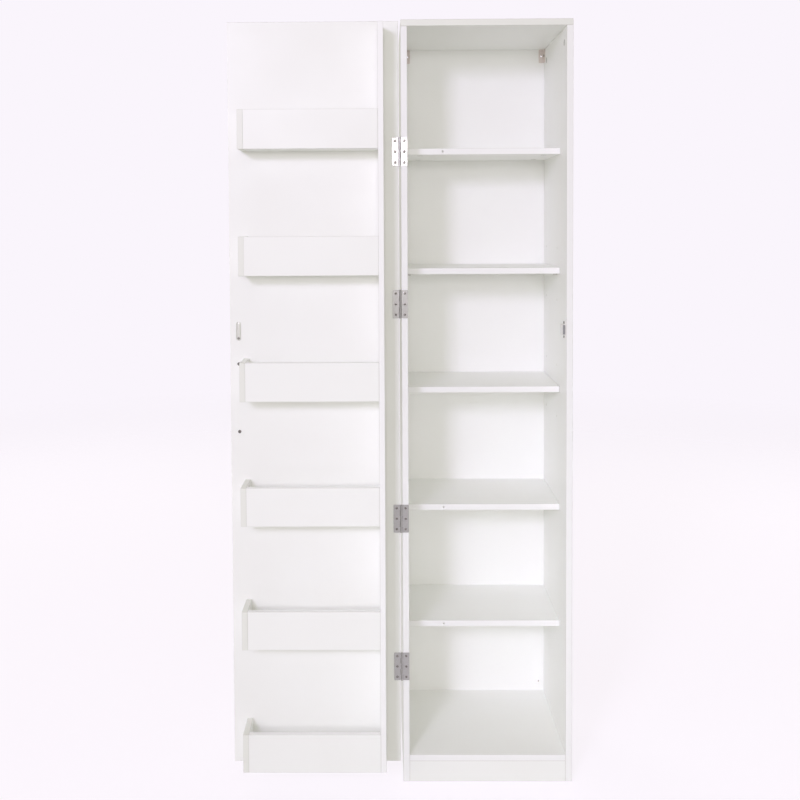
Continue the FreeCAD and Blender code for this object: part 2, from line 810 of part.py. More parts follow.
def hinge_leaf(label, side, knuckles, height):
    """One leaf of a butt hinge: its plate, and its own knuckles around the pin.

    The leaf's own origin is on the pin's axis at the hinge's lower end.  Side is 1 for the
    leaf on the carcass and -1 for the leaf on the door.
    """
    pitch = f"dims.leaf_length / {KNUCKLE_COUNT}"
    inner = "dims.closed_gap / 2 - dims.leaf_thickness"
    plate_x = "dims.hinge_gap / 2" if side > 0 else "-dims.hinge_gap / 2 - dims.leaf_width"
    web_x = "0" if side > 0 else "-dims.hinge_gap / 2"
    plate_size = ("dims.leaf_width", "dims.leaf_thickness", "dims.leaf_length")
    parts = [box(f"{label}_plate", plate_size, (plate_x, inner, "0"))]
    for knuckle in knuckles:
        low = f"{knuckle} * {pitch} + dims.knuckle_play / 2"
        tall = f"{pitch} - dims.knuckle_play"
        parts.append(cylinder(f"{label}_knuckle", "dims.knuckle_diameter", tall, ("0", "0", low)))
        size = ("dims.hinge_gap / 2", "dims.leaf_thickness", tall)
        parts.append(box(f"{label}_web", size, (web_x, inner, low)))
    low = f"{height} - dims.leaf_length / 2"
    pin = Spot(hinge_pin, (HINGE_X, HINGE_Y, low), Rotation())
    holes = leaf_screws(side, height) + [pin]
    piece(label, fused(f"{label}_blank", parts), (HINGE_X, HINGE_Y, low), holes)
    return pin


pins = []
for number, height in enumerate(HINGE_HEIGHTS, start=1):
    pins.append(hinge_leaf(f"hinge_{number}_carcass_leaf", 1, (0, 2, 4), height))
    hinge_leaf(f"hinge_{number}_door_leaf", -1, (1, 3), height)
fasteners("hinge_pins", pins)
fasteners("hinge_carcass_screws", carcass_leaf_screws)
fasteners("hinge_door_screws", door_leaf_screws)


# ---------------------------------------------------------------- door and its racks

def rack_floor(number):
    """Height of the underside of a rack, counted from the lowest."""
    return f"dims.rack_start + {number - 1} * dims.rack_pitch"


def rack_dowels(number):
    """Dowels of one rack: into the door, into the upright and into the side board."""
    low = rack_floor(number)
    floor_middle = f"{low} + dims.rack_board / 2"
    front_middle = f"{RACK_FRONT} + dims.rack_board / 2"
    floor_depth = f"{FRONT} - (dims.rack_depth - dims.rack_board) / 2"
    half = f"{low} + dims.rack_height / 2"
    side_middle = f"{RACK_SIDE} + dims.rack_board / 2"
    upright_middle = f"{UPRIGHT_INNER} + dims.rack_board / 2"
    rack_middle = f"({RACK_SIDE_INNER} + {UPRIGHT_INNER}) / 2"
    in_door = f"{FRONT} + dims.dowel_in_face"
    from_side = f"{RACK_SIDE_INNER} - dims.dowel_in_face"
    from_upright = f"{UPRIGHT_INNER} + dims.dowel_in_face"
    return {
        "door_upright": spots(dowel, [(upright_middle, in_door, half)], MINUS_Y),
        "door_side": spots(dowel, [
            (side_middle, in_door, f"{low} + dims.rack_height / 4"),
            (side_middle, in_door, f"{low} + dims.rack_height * 3 / 4"),
        ], MINUS_Y),
        "door_floor": spots(dowel, [(rack_middle, in_door, floor_middle)], MINUS_Y),
        "side_floor": spots(dowel, [(from_side, floor_depth, floor_middle)], PLUS_X),
        "upright_floor": spots(dowel, [(from_upright, floor_depth, floor_middle)], MINUS_X),
        "side_front": spots(dowel, [(from_side, front_middle, half)], PLUS_X),
        "upright_front": spots(dowel, [(from_upright, front_middle, half)], MINUS_X),
    }


all_dowels = {number: rack_dowels(number) for number in range(1, RACK_COUNT + 1)}


def gathered(*joints):
    """Dowels of the named joints, over every rack."""
    return [spot for joined in all_dowels.values() for joint in joints for spot in joined[joint]]


handle_feet = ["dims.handle_low", "dims.handle_low + dims.handle_spacing"]
handle_screws = spots(handle_screw, [(HANDLE_X, FRONT, foot) for foot in handle_feet], PLUS_Y)
strike_x = f"{DOOR_FREE_EDGE} + dims.strike_inset"
strike_seat = f"{FRONT} - dims.strike_thickness"
strike_screws = spots(
    strike_screw, [(strike_x, strike_seat, "dims.catch_height - dims.strike_screw_drop")], PLUS_Y
)
door_dowels = gathered("door_upright", "door_side", "door_floor")
board(
    "door_panel", ("dims.door_width", "dims.board", "dims.door_height"),
    (DOOR_FREE_EDGE, FRONT, "dims.kick_height"),
    door_dowels + handle_screws + strike_screws + door_leaf_screws,
)
board(
    "rack_upright", ("dims.rack_board", "dims.rack_depth", "dims.upright_length"),
    (UPRIGHT_INNER, RACK_FRONT, "dims.rack_start"),
    gathered("door_upright", "upright_floor", "upright_front"),
)
for number, joined in all_dowels.items():
    low = rack_floor(number)
    board(
        f"rack_{number}_side", ("dims.rack_board", "dims.rack_depth", "dims.rack_height"),
        (RACK_SIDE, RACK_FRONT, low),
        joined["door_side"] + joined["side_floor"] + joined["side_front"],
    )
    floor_size = (RACK_WIDTH, "dims.rack_depth - dims.rack_board", "dims.rack_board")
    board(
        f"rack_{number}_floor", floor_size, (RACK_SIDE_INNER, f"{RACK_FRONT} + dims.rack_board", low),
        joined["door_floor"] + joined["side_floor"] + joined["upright_floor"],
    )
    board(
        f"rack_{number}_front", (RACK_WIDTH, "dims.rack_board", "dims.rack_height"),
        (RACK_SIDE_INNER, RACK_FRONT, low),
        joined["side_front"] + joined["upright_front"],
    )
fasteners("rack_dowels", gathered(*all_dowels[1]))


# ---------------------------------------------------------------- handle and strike plate

def handle_bar():
    """A round bar bent into a bow, its two feet at its own Y = 0."""
    blank = doc.addObject("PartDesign::Body", "door_handle_blank")
    path = sketch_on(blank, "YZ_Plane", "handle_path")
    straight = "dims.handle_reach - dims.handle_bend"
    upper = "dims.handle_spacing - dims.handle_bend"
    ends = [
        (("0", "0"), (straight, "0")),
        (("dims.handle_reach", "dims.handle_bend"), ("dims.handle_reach", upper)),
        ((straight, "dims.handle_spacing"), ("0", "dims.handle_spacing")),
    ]
    for start, end in ends:
        points = [Vector(value(x), value(y), 0) for x, y in (start, end)]
        edge = path.addGeometry(Part.LineSegment(*points), False)
        bind_point(path, edge, 1, *start)
        bind_point(path, edge, 2, *end)
    for corner, middle_height in enumerate(("dims.handle_bend", upper)):
        centre = Vector(value(straight), value(middle_height), 0)
        circle = Part.Circle(centre, PLUS_Z, value("dims.handle_bend"))
        start_angle = (corner - 1) * math.pi / 2
        quarter = Part.ArcOfCircle(circle, start_angle, start_angle + math.pi / 2)
        arc = path.addGeometry(quarter, False)
        path.addConstraint(Sketcher.Constraint("Coincident", arc, 1, corner, 2))
        path.addConstraint(Sketcher.Constraint("Coincident", arc, 2, corner + 1, 1))
        bind(path, ("Radius", arc), "dims.handle_bend")
    section = sketch_on(blank, "XZ_Plane", "handle_section")
    round_edge = section.addGeometry(
        Part.Circle(Vector(), PLUS_Z, value("dims.handle_diameter / 2")), False
    )
    section.addConstraint(Sketcher.Constraint("Coincident", round_edge, 3, -1, 1))
    bind(section, ("Diameter", round_edge), "dims.handle_diameter")
    pipe = blank.newObject("PartDesign::AdditivePipe", "handle_pipe")
    pipe.Profile = section
    pipe.Spine = (path, [f"Edge{number}" for number in range(1, 6)])
    return blank


def strike_blank():
    """A flat plate with round ends, its back at its own Y = 0."""
    blank = doc.addObject("PartDesign::Body", "strike_plate_blank")
    sketch = sketch_on(blank, "XZ_Plane", "strike_outline")
    radius = value("dims.strike_width / 2")
    reach = value("dims.strike_length / 2") - radius
    sketch.addGeometry(Part.LineSegment(Vector(radius, -reach, 0), Vector(radius, reach, 0)), False)
    sketch.addGeometry(Part.LineSegment(Vector(-radius, reach, 0), Vector(-radius, -reach, 0)), False)
    for end, start_angle in ((reach, 0), (-reach, math.pi)):
        circle = Part.Circle(Vector(0, end, 0), PLUS_Z, radius)
        sketch.addGeometry(Part.ArcOfCircle(circle, start_angle, start_angle + math.pi), False)
    for arc, entry, leave in ((2, 0, 1), (3, 1, 0)):
        sketch.addConstraint(Sketcher.Constraint("Tangent", arc, 1, entry, 2))
        sketch.addConstraint(Sketcher.Constraint("Tangent", arc, 2, leave, 1))
    sketch.addConstraint(Sketcher.Constraint("Vertical", 0))
    bind(sketch, ("Diameter", 2), "dims.strike_width")
    bind_point(sketch, 2, 3, "0", "(dims.strike_length - dims.strike_width) / 2")
    bind(sketch, ("DistanceY", -1, 1, 3, 3), "-(dims.strike_length - dims.strike_width) / 2")
    pad = blank.newObject("PartDesign::Pad", "strike_pad")
    pad.Profile = sketch
    pad.setExpression("Length", "dims.strike_thickness")
    return blank


DOOR_OUTER = f"{FRONT} + dims.board"
piece("door_handle", handle_bar(), (HANDLE_X, DOOR_OUTER, "dims.handle_low"), handle_screws)
piece("strike_plate", strike_blank(), (strike_x, FRONT, "dims.catch_height"), strike_screws)
fasteners("handle_screws", handle_screws)
fasteners("strike_plate_screw", strike_screws)


# ---------------------------------------------------------------- check and write

doc.recompute()
for item in doc.Objects:
    if "Invalid" in item.State or "Error" in item.State:
        raise RuntimeError(f"{item.Label} did not recompute: {item.State}")
for base, remainder in drilled:
    if not remainder.Shape.Volume < base.Shape.Volume:
        raise RuntimeError(f"{remainder.Label} lost nothing to its cut")
os.makedirs("parts", exist_ok=True)
for item in pieces:
    if item.Shape.isNull() or not item.Shape.isValid():
        raise RuntimeError(f"{item.Label} has no valid shape")
    item.Shape.exportStep(os.path.join("parts", f"{item.Label}.step"))
    print(f"{item.Label}: {len(item.Shape.Solids)} solids, {item.Shape.Volume / 1000:.2f} cm3")
print(f"{len(pieces)} nodes")
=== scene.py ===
"""Looks of the pantry cabinet: its finishes, its fine hardware, the floor, the light and the camera.

Places and sizes start from the frame's own boxes, in metres, at rest: X runs along the front
from the open door to the carcass, Y runs from front to back and Z runs up.
"""
import logging
import math
from dataclasses import dataclass
from enum import Enum
from typing import Sequence

import bmesh
import bpy
from mathutils import Matrix, Vector


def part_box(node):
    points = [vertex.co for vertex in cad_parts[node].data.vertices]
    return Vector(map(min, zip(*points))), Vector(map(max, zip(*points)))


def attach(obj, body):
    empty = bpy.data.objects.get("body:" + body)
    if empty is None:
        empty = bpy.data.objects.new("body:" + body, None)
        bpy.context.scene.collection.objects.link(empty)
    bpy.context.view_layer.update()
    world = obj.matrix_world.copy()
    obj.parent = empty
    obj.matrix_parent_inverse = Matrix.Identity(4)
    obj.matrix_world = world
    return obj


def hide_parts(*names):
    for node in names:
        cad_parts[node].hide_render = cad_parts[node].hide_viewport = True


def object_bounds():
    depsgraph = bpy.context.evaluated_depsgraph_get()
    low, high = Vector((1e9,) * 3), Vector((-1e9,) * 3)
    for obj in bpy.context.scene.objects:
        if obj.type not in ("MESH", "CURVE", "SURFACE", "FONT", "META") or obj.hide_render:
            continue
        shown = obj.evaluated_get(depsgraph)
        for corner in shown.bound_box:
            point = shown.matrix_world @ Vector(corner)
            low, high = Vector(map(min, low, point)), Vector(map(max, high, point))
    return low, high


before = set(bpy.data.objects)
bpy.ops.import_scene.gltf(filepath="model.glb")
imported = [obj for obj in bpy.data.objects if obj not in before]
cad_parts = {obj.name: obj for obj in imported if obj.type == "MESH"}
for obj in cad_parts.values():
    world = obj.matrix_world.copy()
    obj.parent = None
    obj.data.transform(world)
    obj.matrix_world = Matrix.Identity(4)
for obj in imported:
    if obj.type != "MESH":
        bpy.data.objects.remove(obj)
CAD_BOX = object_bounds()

LOG = logging.getLogger("pantry_cabinet")

MM = 0.001
RING_POINTS = 24

# The Mix node has one set of sockets for each kind of value: these are its colour ones.
MIX_COLOURS = (6, 7)
MIXED_COLOUR = 2

RIGHTWARD = Vector((1, 0, 0))
FORWARD = Vector((0, 1, 0))
UPWARD = Vector((0, 0, 1))

Outline = Sequence[tuple[float, float]]


# ---------------------------------------------------------------- colour and nodes

def linear(code: str) -> tuple[float, float, float, float]:
    """Turn an sRGB colour into the linear one that shaders take.

    Args:
        code: The colour as hex, such as "#f0f0ee".

    Returns:
        Red, green, blue and an alpha of 1.
    """
    channels = [int(code[start:start + 2], 16) / 255 for start in (1, 3, 5)]
    red, green, blue = [
        channel / 12.92 if channel <= 0.04045 else ((channel + 0.055) / 1.055) ** 2.4
        for channel in channels
    ]
    return red, green, blue, 1.0


def add_node(
    tree: bpy.types.NodeTree,
    kind: str,
    settings: dict[str | int, object] | None = None,
    links: dict[str | int, bpy.types.NodeSocket] | None = None,
) -> bpy.types.Node:
    """Add one node to a tree.

    Args:
        tree: The node tree.
        kind: The node's type name.
        settings: Values for its properties, and for its inputs by name or number.
        links: Output sockets that feed its inputs, by name or number.

    Returns:
        The new node.
    """
    node = tree.nodes.new(kind)
    for name, value in (settings or {}).items():
        if isinstance(name, int) or name in node.inputs:
            node.inputs[name].default_value = value
        else:
            setattr(node, name, value)
    for name, socket in (links or {}).items():
        tree.links.new(socket, node.inputs[name])
    return node


def per_metre(millimetres: float) -> float:
    """The scale of a pattern, from the size of its features in millimetres."""
    return 1 / (millimetres * MM)


class Axis(Enum):
    """The direction across a board's thickness."""

    X = "X"
    Y = "Y"
    Z = "Z"


@dataclass(frozen=True)
class Finish:
    """What every finish is made of: a name, a colour, and how it takes the light."""

    name: str
    colour: str
    roughness: float
    metallic: float = 0.0
    ior: float = 1.5

    def material(self) -> bpy.types.Material:
        """The finish as a material, made the first time that it is asked for."""
        known = bpy.data.materials.get(self.name)
        if known is not None:
            return known
        made = bpy.data.materials.new(self.name)
        made.use_nodes = True
        tree = made.node_tree
        tree.nodes.clear()
        settings: dict[str | int, object] = {
            "Base Color": linear(self.colour),
            "Roughness": self.roughness,
            "Metallic": self.metallic,
        }
        if not self.metallic:
            settings["IOR"] = self.ior
        surface = add_node(tree, "ShaderNodeBsdfPrincipled", settings)
        add_node(tree, "ShaderNodeOutputMaterial", links={"Surface": surface.outputs["BSDF"]})
        where = add_node(tree, "ShaderNodeTexCoord")
        self.pattern(tree, where, surface)
        return made

    def pattern(
        self, tree: bpy.types.NodeTree, where: bpy.types.Node, surface: bpy.types.Node
    ) -> None:
        """Add what varies over the surface. Each finish has its own.

        Args:
            tree: The material's node tree.
            where: Its texture coordinates, in metres.
            surface: Its Principled node.
        """

    def noise(
        self, tree: bpy.types.NodeTree, where: bpy.types.NodeSocket, size_mm: float,
        detail: float = 2.0,
    ) -> bpy.types.NodeSocket:
        """A soft random pattern.

        Args:
            tree: The material's node tree.
            where: The coordinates that it follows.
            size_mm: The size of its features.
            detail: How many finer layers it has.

        Returns:
            A value about one half.
        """
        settings = {"Scale": per_metre(size_mm), "Detail": detail}
        return add_node(tree, "ShaderNodeTexNoise", settings, {"Vector": where}).outputs["Fac"]

    def spread(
        self, tree: bpy.types.NodeTree, value: bpy.types.NodeSocket, low: float, high: float,
        start: float = 0.3, end: float = 0.7,
    ) -> bpy.types.NodeSocket:
        """Map the middle of a pattern's range to a range of numbers.

        Args:
            tree: The material's node tree.
            value: The pattern.
            low: The number that start becomes.
            high: The number that end becomes.
            start: Where the range starts.
            end: Where it ends.

        Returns:
            The mapped value.
        """
        settings = {"From Min": start, "From Max": end, "To Min": low, "To Max": high}
        mapped = add_node(tree, "ShaderNodeMapRange", settings, {"Value": value})
        return mapped.outputs["Result"]

    def mixed(
        self, tree: bpy.types.NodeTree, share: bpy.types.NodeSocket,
        first: bpy.types.NodeSocket | str, second: bpy.types.NodeSocket | str,
    ) -> bpy.types.NodeSocket:
        """Mix two colours.

        Args:
            tree: The material's node tree.
            share: How much of the second one shows, from 0 to 1.
            first: A colour socket or a hex colour.
            second: A colour socket or a hex colour.

        Returns:
            The mixed colour.
        """
        settings: dict[str | int, object] = {"data_type": "RGBA"}
        links: dict[str | int, bpy.types.NodeSocket] = {"Factor": share}
        for slot, colour in zip(MIX_COLOURS, (first, second)):
            if isinstance(colour, str):
                settings[slot] = linear(colour)
            else:
                links[slot] = colour
        return add_node(tree, "ShaderNodeMix", settings, links).outputs[MIXED_COLOUR]

    def tint(
        self, tree: bpy.types.NodeTree, surface: bpy.types.Node,
        share: bpy.types.NodeSocket, second: str,
    ) -> None:
        """Blend the finish's own colour with a second one.

        Args:
            tree: The material's node tree.
            surface: The Principled node.
            share: How much of the second colour shows, from 0 to 1.
            second: The second colour, as hex.
        """
        mixed = self.mixed(tree, share, self.colour, second)
        tree.links.new(mixed, surface.inputs["Base Color"])

    def relief(
        self, tree: bpy.types.NodeTree, surface: bpy.types.Node,
        height: bpy.types.NodeSocket, depth_mm: float, strength: float,
    ) -> None:
        """Raise the surface by a pattern.

        Args:
            tree: The material's node tree.
            surface: The Principled node.
            height: The pattern.
            depth_mm: How far its peaks stand over its hollows.
            strength: How much of that shows.
        """
        settings = {"Strength": strength, "Distance": depth_mm * MM}
        bump = add_node(tree, "ShaderNodeBump", settings, {"Height": height})
        tree.links.new(bump.outputs["Normal"], surface.inputs["Normal"])


# ---------------------------------------------------------------- finishes

@dataclass(frozen=True)
class MelamineBoard(Finish):
    """Chipboard faced with white melamine paper and edged with thin melamine tape.

    The eye gets a calm satin white with a pearl of fine dimples from the press plate, tape that
    on some boards is a shade darker and greener than the faces, and a faint cloud of handling marks.
    """

    thin: Axis = Axis.X
    handled: str = "#f5f5f1"
    tape: str = "#f9f9f8"
    # The darker line on every rounded edge: partly the tape's adhesive line, partly painted shade where
    # boards meet.
    glue_and_shade: str = "#b5b1a6"
    pearl_mm: float = 3.0
    cloud_mm: float = 220.0

    def seam(self, tree: bpy.types.NodeTree, facing: bpy.types.Node) -> bpy.types.NodeSocket:
        """Darken every rounded edge: the fine adhesive line of the trimmed tape, and painted shade
        for the dark line where boards meet.

        Args:
            tree: The material's node tree.
            facing: The parts of the surface's own direction.

        Returns:
            1 on a trimmed edge and 0 on the flats.
        """
        largest: bpy.types.NodeSocket | None = None
        for axis in Axis:
            size = add_node(
                tree, "ShaderNodeMath", {"operation": "ABSOLUTE"}, {0: facing.outputs[axis.value]}
            ).outputs[0]
            if largest is None:
                largest = size
            else:
                largest = add_node(
                    tree, "ShaderNodeMath", {"operation": "MAXIMUM"}, {0: largest, 1: size}
                ).outputs[0]
        return self.spread(tree, largest, 0.5, 0.0, 0.93, 0.99)

    def pattern(
        self, tree: bpy.types.NodeTree, where: bpy.types.Node, surface: bpy.types.Node
    ) -> None:
        """Add the tape on the edges, the darker line of adhesive and painted shade on the rounded
        edges, the cloud of handling and the pearl of the press plate.
        """
        place = where.outputs["Object"]
        facing = add_node(tree, "ShaderNodeSeparateXYZ", links={0: where.outputs["Normal"]})
        across = add_node(
            tree, "ShaderNodeMath", {"operation": "ABSOLUTE"}, {0: facing.outputs[self.thin.value]}
        )
        on_edge = self.spread(tree, across.outputs[0], 1.0, 0.0, 0.45, 0.55)
        cloud = self.noise(tree, place, self.cloud_mm, 3.0)
        soiled = self.mixed(tree, self.spread(tree, cloud, 0.0, 0.5), self.colour, self.handled)
        colour = self.mixed(tree, on_edge, soiled, self.tape)
        # Painted shade: every rounded edge is darkened, partly for the tape's adhesive line, partly for
        # the shade where boards meet.
        colour = self.mixed(tree, self.seam(tree, facing), colour, self.glue_and_shade)
        tree.links.new(colour, surface.inputs["Base Color"])
        pearl = self.noise(tree, place, self.pearl_mm, 1.0)
        gloss = self.spread(tree, cloud, self.roughness - 0.05, self.roughness + 0.06)
        tree.links.new(gloss, surface.inputs["Roughness"])
        self.relief(tree, surface, pearl, 0.05, 0.35)


@dataclass(frozen=True)
class Hardboard(Finish):
    """Thin wet-pressed hardboard, lacquered white on its inner face and raw on the others.

    The eye gets a smooth matt white inside the cabinet, and warm brown felted fibre outside,
    with darker flecks and the faint mesh of the press screen.
    """

    fibre: str = "#a9825c"
    pale_fibre: str = "#b99570"
    fleck: str = "#86623f"
    lacquer_cloud: str = "#f7f6f4"
    raw_roughness: float = 0.75
    fleck_mm: float = 2.5
    cloud_mm: float = 160.0
    screen_mm: float = 4.0

    def pattern(
        self, tree: bpy.types.NodeTree, where: bpy.types.Node, surface: bpy.types.Node
    ) -> None:
        """Add the lacquered face, the flecks and the mesh of the press screen."""
        place = where.outputs["Object"]
        facing = add_node(tree, "ShaderNodeSeparateXYZ", links={0: where.outputs["Normal"]})
        lacquered = self.spread(tree, facing.outputs["Y"], 1.0, 0.0, -0.9, -0.7)
        stretched = add_node(
            tree, "ShaderNodeMapping", {"Scale": (1.0, 1.0, 0.35)}, {"Vector": place}
        ).outputs["Vector"]
        flecks = self.spread(tree, self.noise(tree, stretched, self.fleck_mm, 4.0), 0.0, 0.75)
        cloud = self.spread(tree, self.noise(tree, place, self.cloud_mm, 3.0), 0.0, 0.35)
        raw = self.mixed(tree, flecks, self.fibre, self.fleck)
        raw = self.mixed(tree, cloud, raw, self.pale_fibre)
        white = self.mixed(tree, cloud, self.colour, self.lacquer_cloud)
        tree.links.new(self.mixed(tree, lacquered, raw, white), surface.inputs["Base Color"])
        rough = self.spread(tree, lacquered, self.raw_roughness, self.roughness, 0.0, 1.0)
        tree.links.new(rough, surface.inputs["Roughness"])
        mesh = self.noise(tree, place, self.screen_mm)
        self.relief(tree, surface, mesh, 0.08, 0.4)


@dataclass(frozen=True)
class PlatedSteel(Finish):
    """Pressed or turned steel with a thin zinc or nickel plating.

    The eye gets a cool grey metal with a mottle of crystal grains, some duller than others, and
    small pits where the plating is thin.
    """

    grain_mm: float = 2.2
    dull: str = "#8f8f8c"
    mottle: float = 0.5
    pitting: float = 0.3

    def pattern(
        self, tree: bpy.types.NodeTree, where: bpy.types.Node, surface: bpy.types.Node
    ) -> None:
        """Add the crystal grains, the pits and the change of gloss from grain to grain."""
        place = where.outputs["Object"]
        grains = add_node(
            tree, "ShaderNodeTexVoronoi", {"Scale": per_metre(self.grain_mm), "Randomness": 1.0},
            {"Vector": place},
        )
        tone = add_node(tree, "ShaderNodeSeparateColor", links={0: grains.outputs["Color"]})
        fine = self.noise(tree, place, self.grain_mm / 3, 3.0)
        share = self.spread(tree, tone.outputs[0], 0.0, self.mottle, 0.0, 1.0)
        coloured = self.mixed(tree, share, self.colour, self.dull)
        pitted = self.spread(tree, fine, self.pitting, 0.0, 0.25, 0.45)
        coloured = self.mixed(tree, pitted, coloured, self.dull)
        tree.links.new(coloured, surface.inputs["Base Color"])
        gloss = self.spread(
            tree, tone.outputs[1], self.roughness - 0.02, self.roughness + 0.03, 0.0, 1.0
        )
        tree.links.new(gloss, surface.inputs["Roughness"])
        self.relief(tree, surface, fine, 0.02, 0.1)


@dataclass(frozen=True)
class BrushedSteel(Finish):
    """Drawn steel bar, brushed along its length. The eye gets fine streaks up and down it."""

    streak_mm: float = 0.8
    streak: str = "#a4a5a6"

    def pattern(
        self, tree: bpy.types.NodeTree, where: bpy.types.Node, surface: bpy.types.Node
    ) -> None:
        """Add streaks that run up the bar."""
        drawn = add_node(
            tree, "ShaderNodeMapping", {"Scale": (1.0, 1.0, 0.02)},
            {"Vector": where.outputs["Object"]},
        ).outputs["Vector"]
        streaks = self.noise(tree, drawn, self.streak_mm, 4.0)
        share = self.spread(tree, streaks, 0.0, 0.6)
        self.tint(tree, surface, share, self.streak)
        gloss = self.spread(tree, streaks, self.roughness - 0.06, self.roughness + 0.08)
        tree.links.new(gloss, surface.inputs["Roughness"])
        self.relief(tree, surface, streaks, 0.03, 0.5)


@dataclass(frozen=True)
class PaintedSteel(Finish):
    """Pressed steel under a stoved paint film. The eye gets a soft orange-peel sheen."""

    peel_mm: float = 1.6
    rub_mm: float = 6.0
    worn: str = "#cfc6bf"

    def pattern(
        self, tree: bpy.types.NodeTree, where: bpy.types.Node, surface: bpy.types.Node
    ) -> None:
        """Add the orange peel and rubbed patches."""
        place = where.outputs["Object"]
        rubbed = self.spread(tree, self.noise(tree, place, self.rub_mm, 4.0), 0.0, 0.5, 0.5, 0.75)
        self.tint(tree, surface, rubbed, self.worn)
        self.relief(tree, surface, self.noise(tree, place, self.peel_mm, 1.0), 0.04, 0.5)


@dataclass(frozen=True)
class MouldedPlastic(Finish):
    """Injection-moulded ABS from a spark-eroded mould. The eye gets a fine even matt grain."""

    grain_mm: float = 0.6
    cloud_mm: float = 9.0
    shade: str = "#dedcd8"

    def pattern(
        self, tree: bpy.types.NodeTree, where: bpy.types.Node, surface: bpy.types.Node
    ) -> None:
        """Add the mould's grain and a slight change of tone."""
        place = where.outputs["Object"]
        share = self.spread(tree, self.noise(tree, place, self.cloud_mm, 3.0), 0.0, 0.6)
        self.tint(tree, surface, share, self.shade)
        self.relief(tree, surface, self.noise(tree, place, self.grain_mm, 1.0), 0.03, 0.4)


@dataclass(frozen=True)
class SinteredFerrite(Finish):
    """Pressed and fired ferrite. The eye gets grey stone with a fine ground grain."""

    grain_mm: float = 0.7
    ground: str = "#8c8c8e"

    def pattern(
        self, tree: bpy.types.NodeTree, where: bpy.types.Node, surface: bpy.types.Node
    ) -> None:
        """Add the ground grain."""
        grain = self.noise(tree, where.outputs["Object"], self.grain_mm, 3.0)
        share = self.spread(tree, grain, 0.0, 1.0)
        self.tint(tree, surface, share, self.ground)
        self.relief(tree, surface, grain, 0.05, 0.6)


@dataclass(frozen=True)
class TurnedBeech(Finish):
    """Turned beech rod. The eye gets pale pinkish wood with short dark ray flecks."""

    grain_mm: float = 1.2
    ray: str = "#b98d5d"

    def pattern(
        self, tree: bpy.types.NodeTree, where: bpy.types.Node, surface: bpy.types.Node
    ) -> None:
        """Add the grain and its ray flecks."""
        place = where.outputs["Object"]
        drawn = add_node(
            tree, "ShaderNodeMapping", {"Scale": (0.25, 1.0, 1.0)}, {"Vector": place}
        ).outputs["Vector"]
        grain = self.noise(tree, drawn, self.grain_mm, 4.0)
        share = self.spread(tree, grain, 0.0, 1.0)
        self.tint(tree, surface, share, self.ray)
        self.relief(tree, surface, grain, 0.1, 0.5)


@dataclass(frozen=True)
class StudioFloor(Finish):
    """A pale paper floor that fades into the backdrop, with the studio's glow on it."""

    glow: str = "#faf5fc"
    glow_strength: float = 0.80
    tooth_mm: float = 40.0
    tooth: str = "#8b898c"
    full_radius: float = 2.6
    gone_radius: float = 5.6

    def pattern(
        self, tree: bpy.types.NodeTree, where: bpy.types.Node, surface: bpy.types.Node
    ) -> None:
        """Add the paper's faint tooth and the fade towards its rim."""
        surface.inputs["Emission Color"].default_value = linear(self.glow)
        surface.inputs["Emission Strength"].default_value = self.glow_strength
        place = where.outputs["Object"]
        share = self.spread(tree, self.noise(tree, place, self.tooth_mm, 4.0), 0.0, 0.4)
        self.tint(tree, surface, share, self.tooth)
        length = add_node(tree, "ShaderNodeVectorMath", {"operation": "LENGTH"}, {0: place})
        solid = self.spread(
            tree, length.outputs["Value"], 1.0, 0.0, self.full_radius, self.gone_radius
        )
        tree.links.new(solid, surface.inputs["Alpha"])


WHITE_FACE = "#f9faf7"
GREENISH_TAPE = "#edeee7"


def melamine(thin: Axis, greenish: bool = False) -> MelamineBoard:
    """The white board finish.

    Args:
        thin: The direction across the board's thickness.
        greenish: True for the boards whose tape is a darker, greener white.

    Returns:
        The finish.
    """
    name = f"white_melamine_thin_{thin.value}"
    if greenish:
        return MelamineBoard(
            f"{name}_green_tape", WHITE_FACE, 0.42, ior=1.55, thin=thin, tape=GREENISH_TAPE
        )
    return MelamineBoard(name, WHITE_FACE, 0.42, ior=1.55, thin=thin)


BACK_HARDBOARD = Hardboard("hardboard_white_inside", "#fbfcf9", 0.5, ior=1.5)
HINGE_ZINC = PlatedSteel("zinc_plated_hinge_steel", "#b0afad", 0.31, 1.0, dull="#a19f9c")
SCREW_ZINC = PlatedSteel(
    "zinc_plated_screw_steel", "#9a9793", 0.26, 1.0, grain_mm=1.2, dull="#75726e"
)
STRIKE_NICKEL = PlatedSteel(
    "nickel_plated_strike_steel", "#d3d4cd", 0.36, 1.0, grain_mm=1.5, dull="#c0beb4", mottle=0.35
)
PEG_NICKEL = PlatedSteel(
    "nickel_plated_peg_steel", "#cfcdc8", 0.28, 1.0, grain_mm=1.5, dull="#b0aea8", mottle=0.35
)
CAM_ZINC = PlatedSteel("die_cast_cam_zinc", "#dededa", 0.5, 1.0, grain_mm=1.8)
NAIL_STEEL = PlatedSteel("bright_nail_steel", "#8d8d8c", 0.42, 1.0, grain_mm=1.0, dull="#6d6c6a")
POLE_STEEL = PlatedSteel("zinc_plated_pole_steel", "#d2d2ce", 0.45, 1.0, grain_mm=1.4)
BRACKET_PAINT = PaintedSteel("beige_painted_bracket_steel", "#e4d9d4", 0.5)
HANDLE_STEEL = BrushedSteel("brushed_handle_steel", "#bfc0c1", 0.32, 1.0)
CATCH_ABS = MouldedPlastic("white_moulded_abs", "#efeeec", 0.45, ior=1.53)
FERRITE = SinteredFerrite("sintered_ferrite", "#77777a", 0.6, ior=2.0)
BEECH = TurnedBeech("turned_beech", "#d9b58a", 0.6)
FLOOR_PAPER = StudioFloor("pale_floor_paper", "#8e8c90", 0.9)
BOUNCE_PAPER = StudioFloor(
    "dim_bounce_paper", "#404040", 0.9, glow="#fffef5", glow_strength=0.45, gone_radius=5.9
)


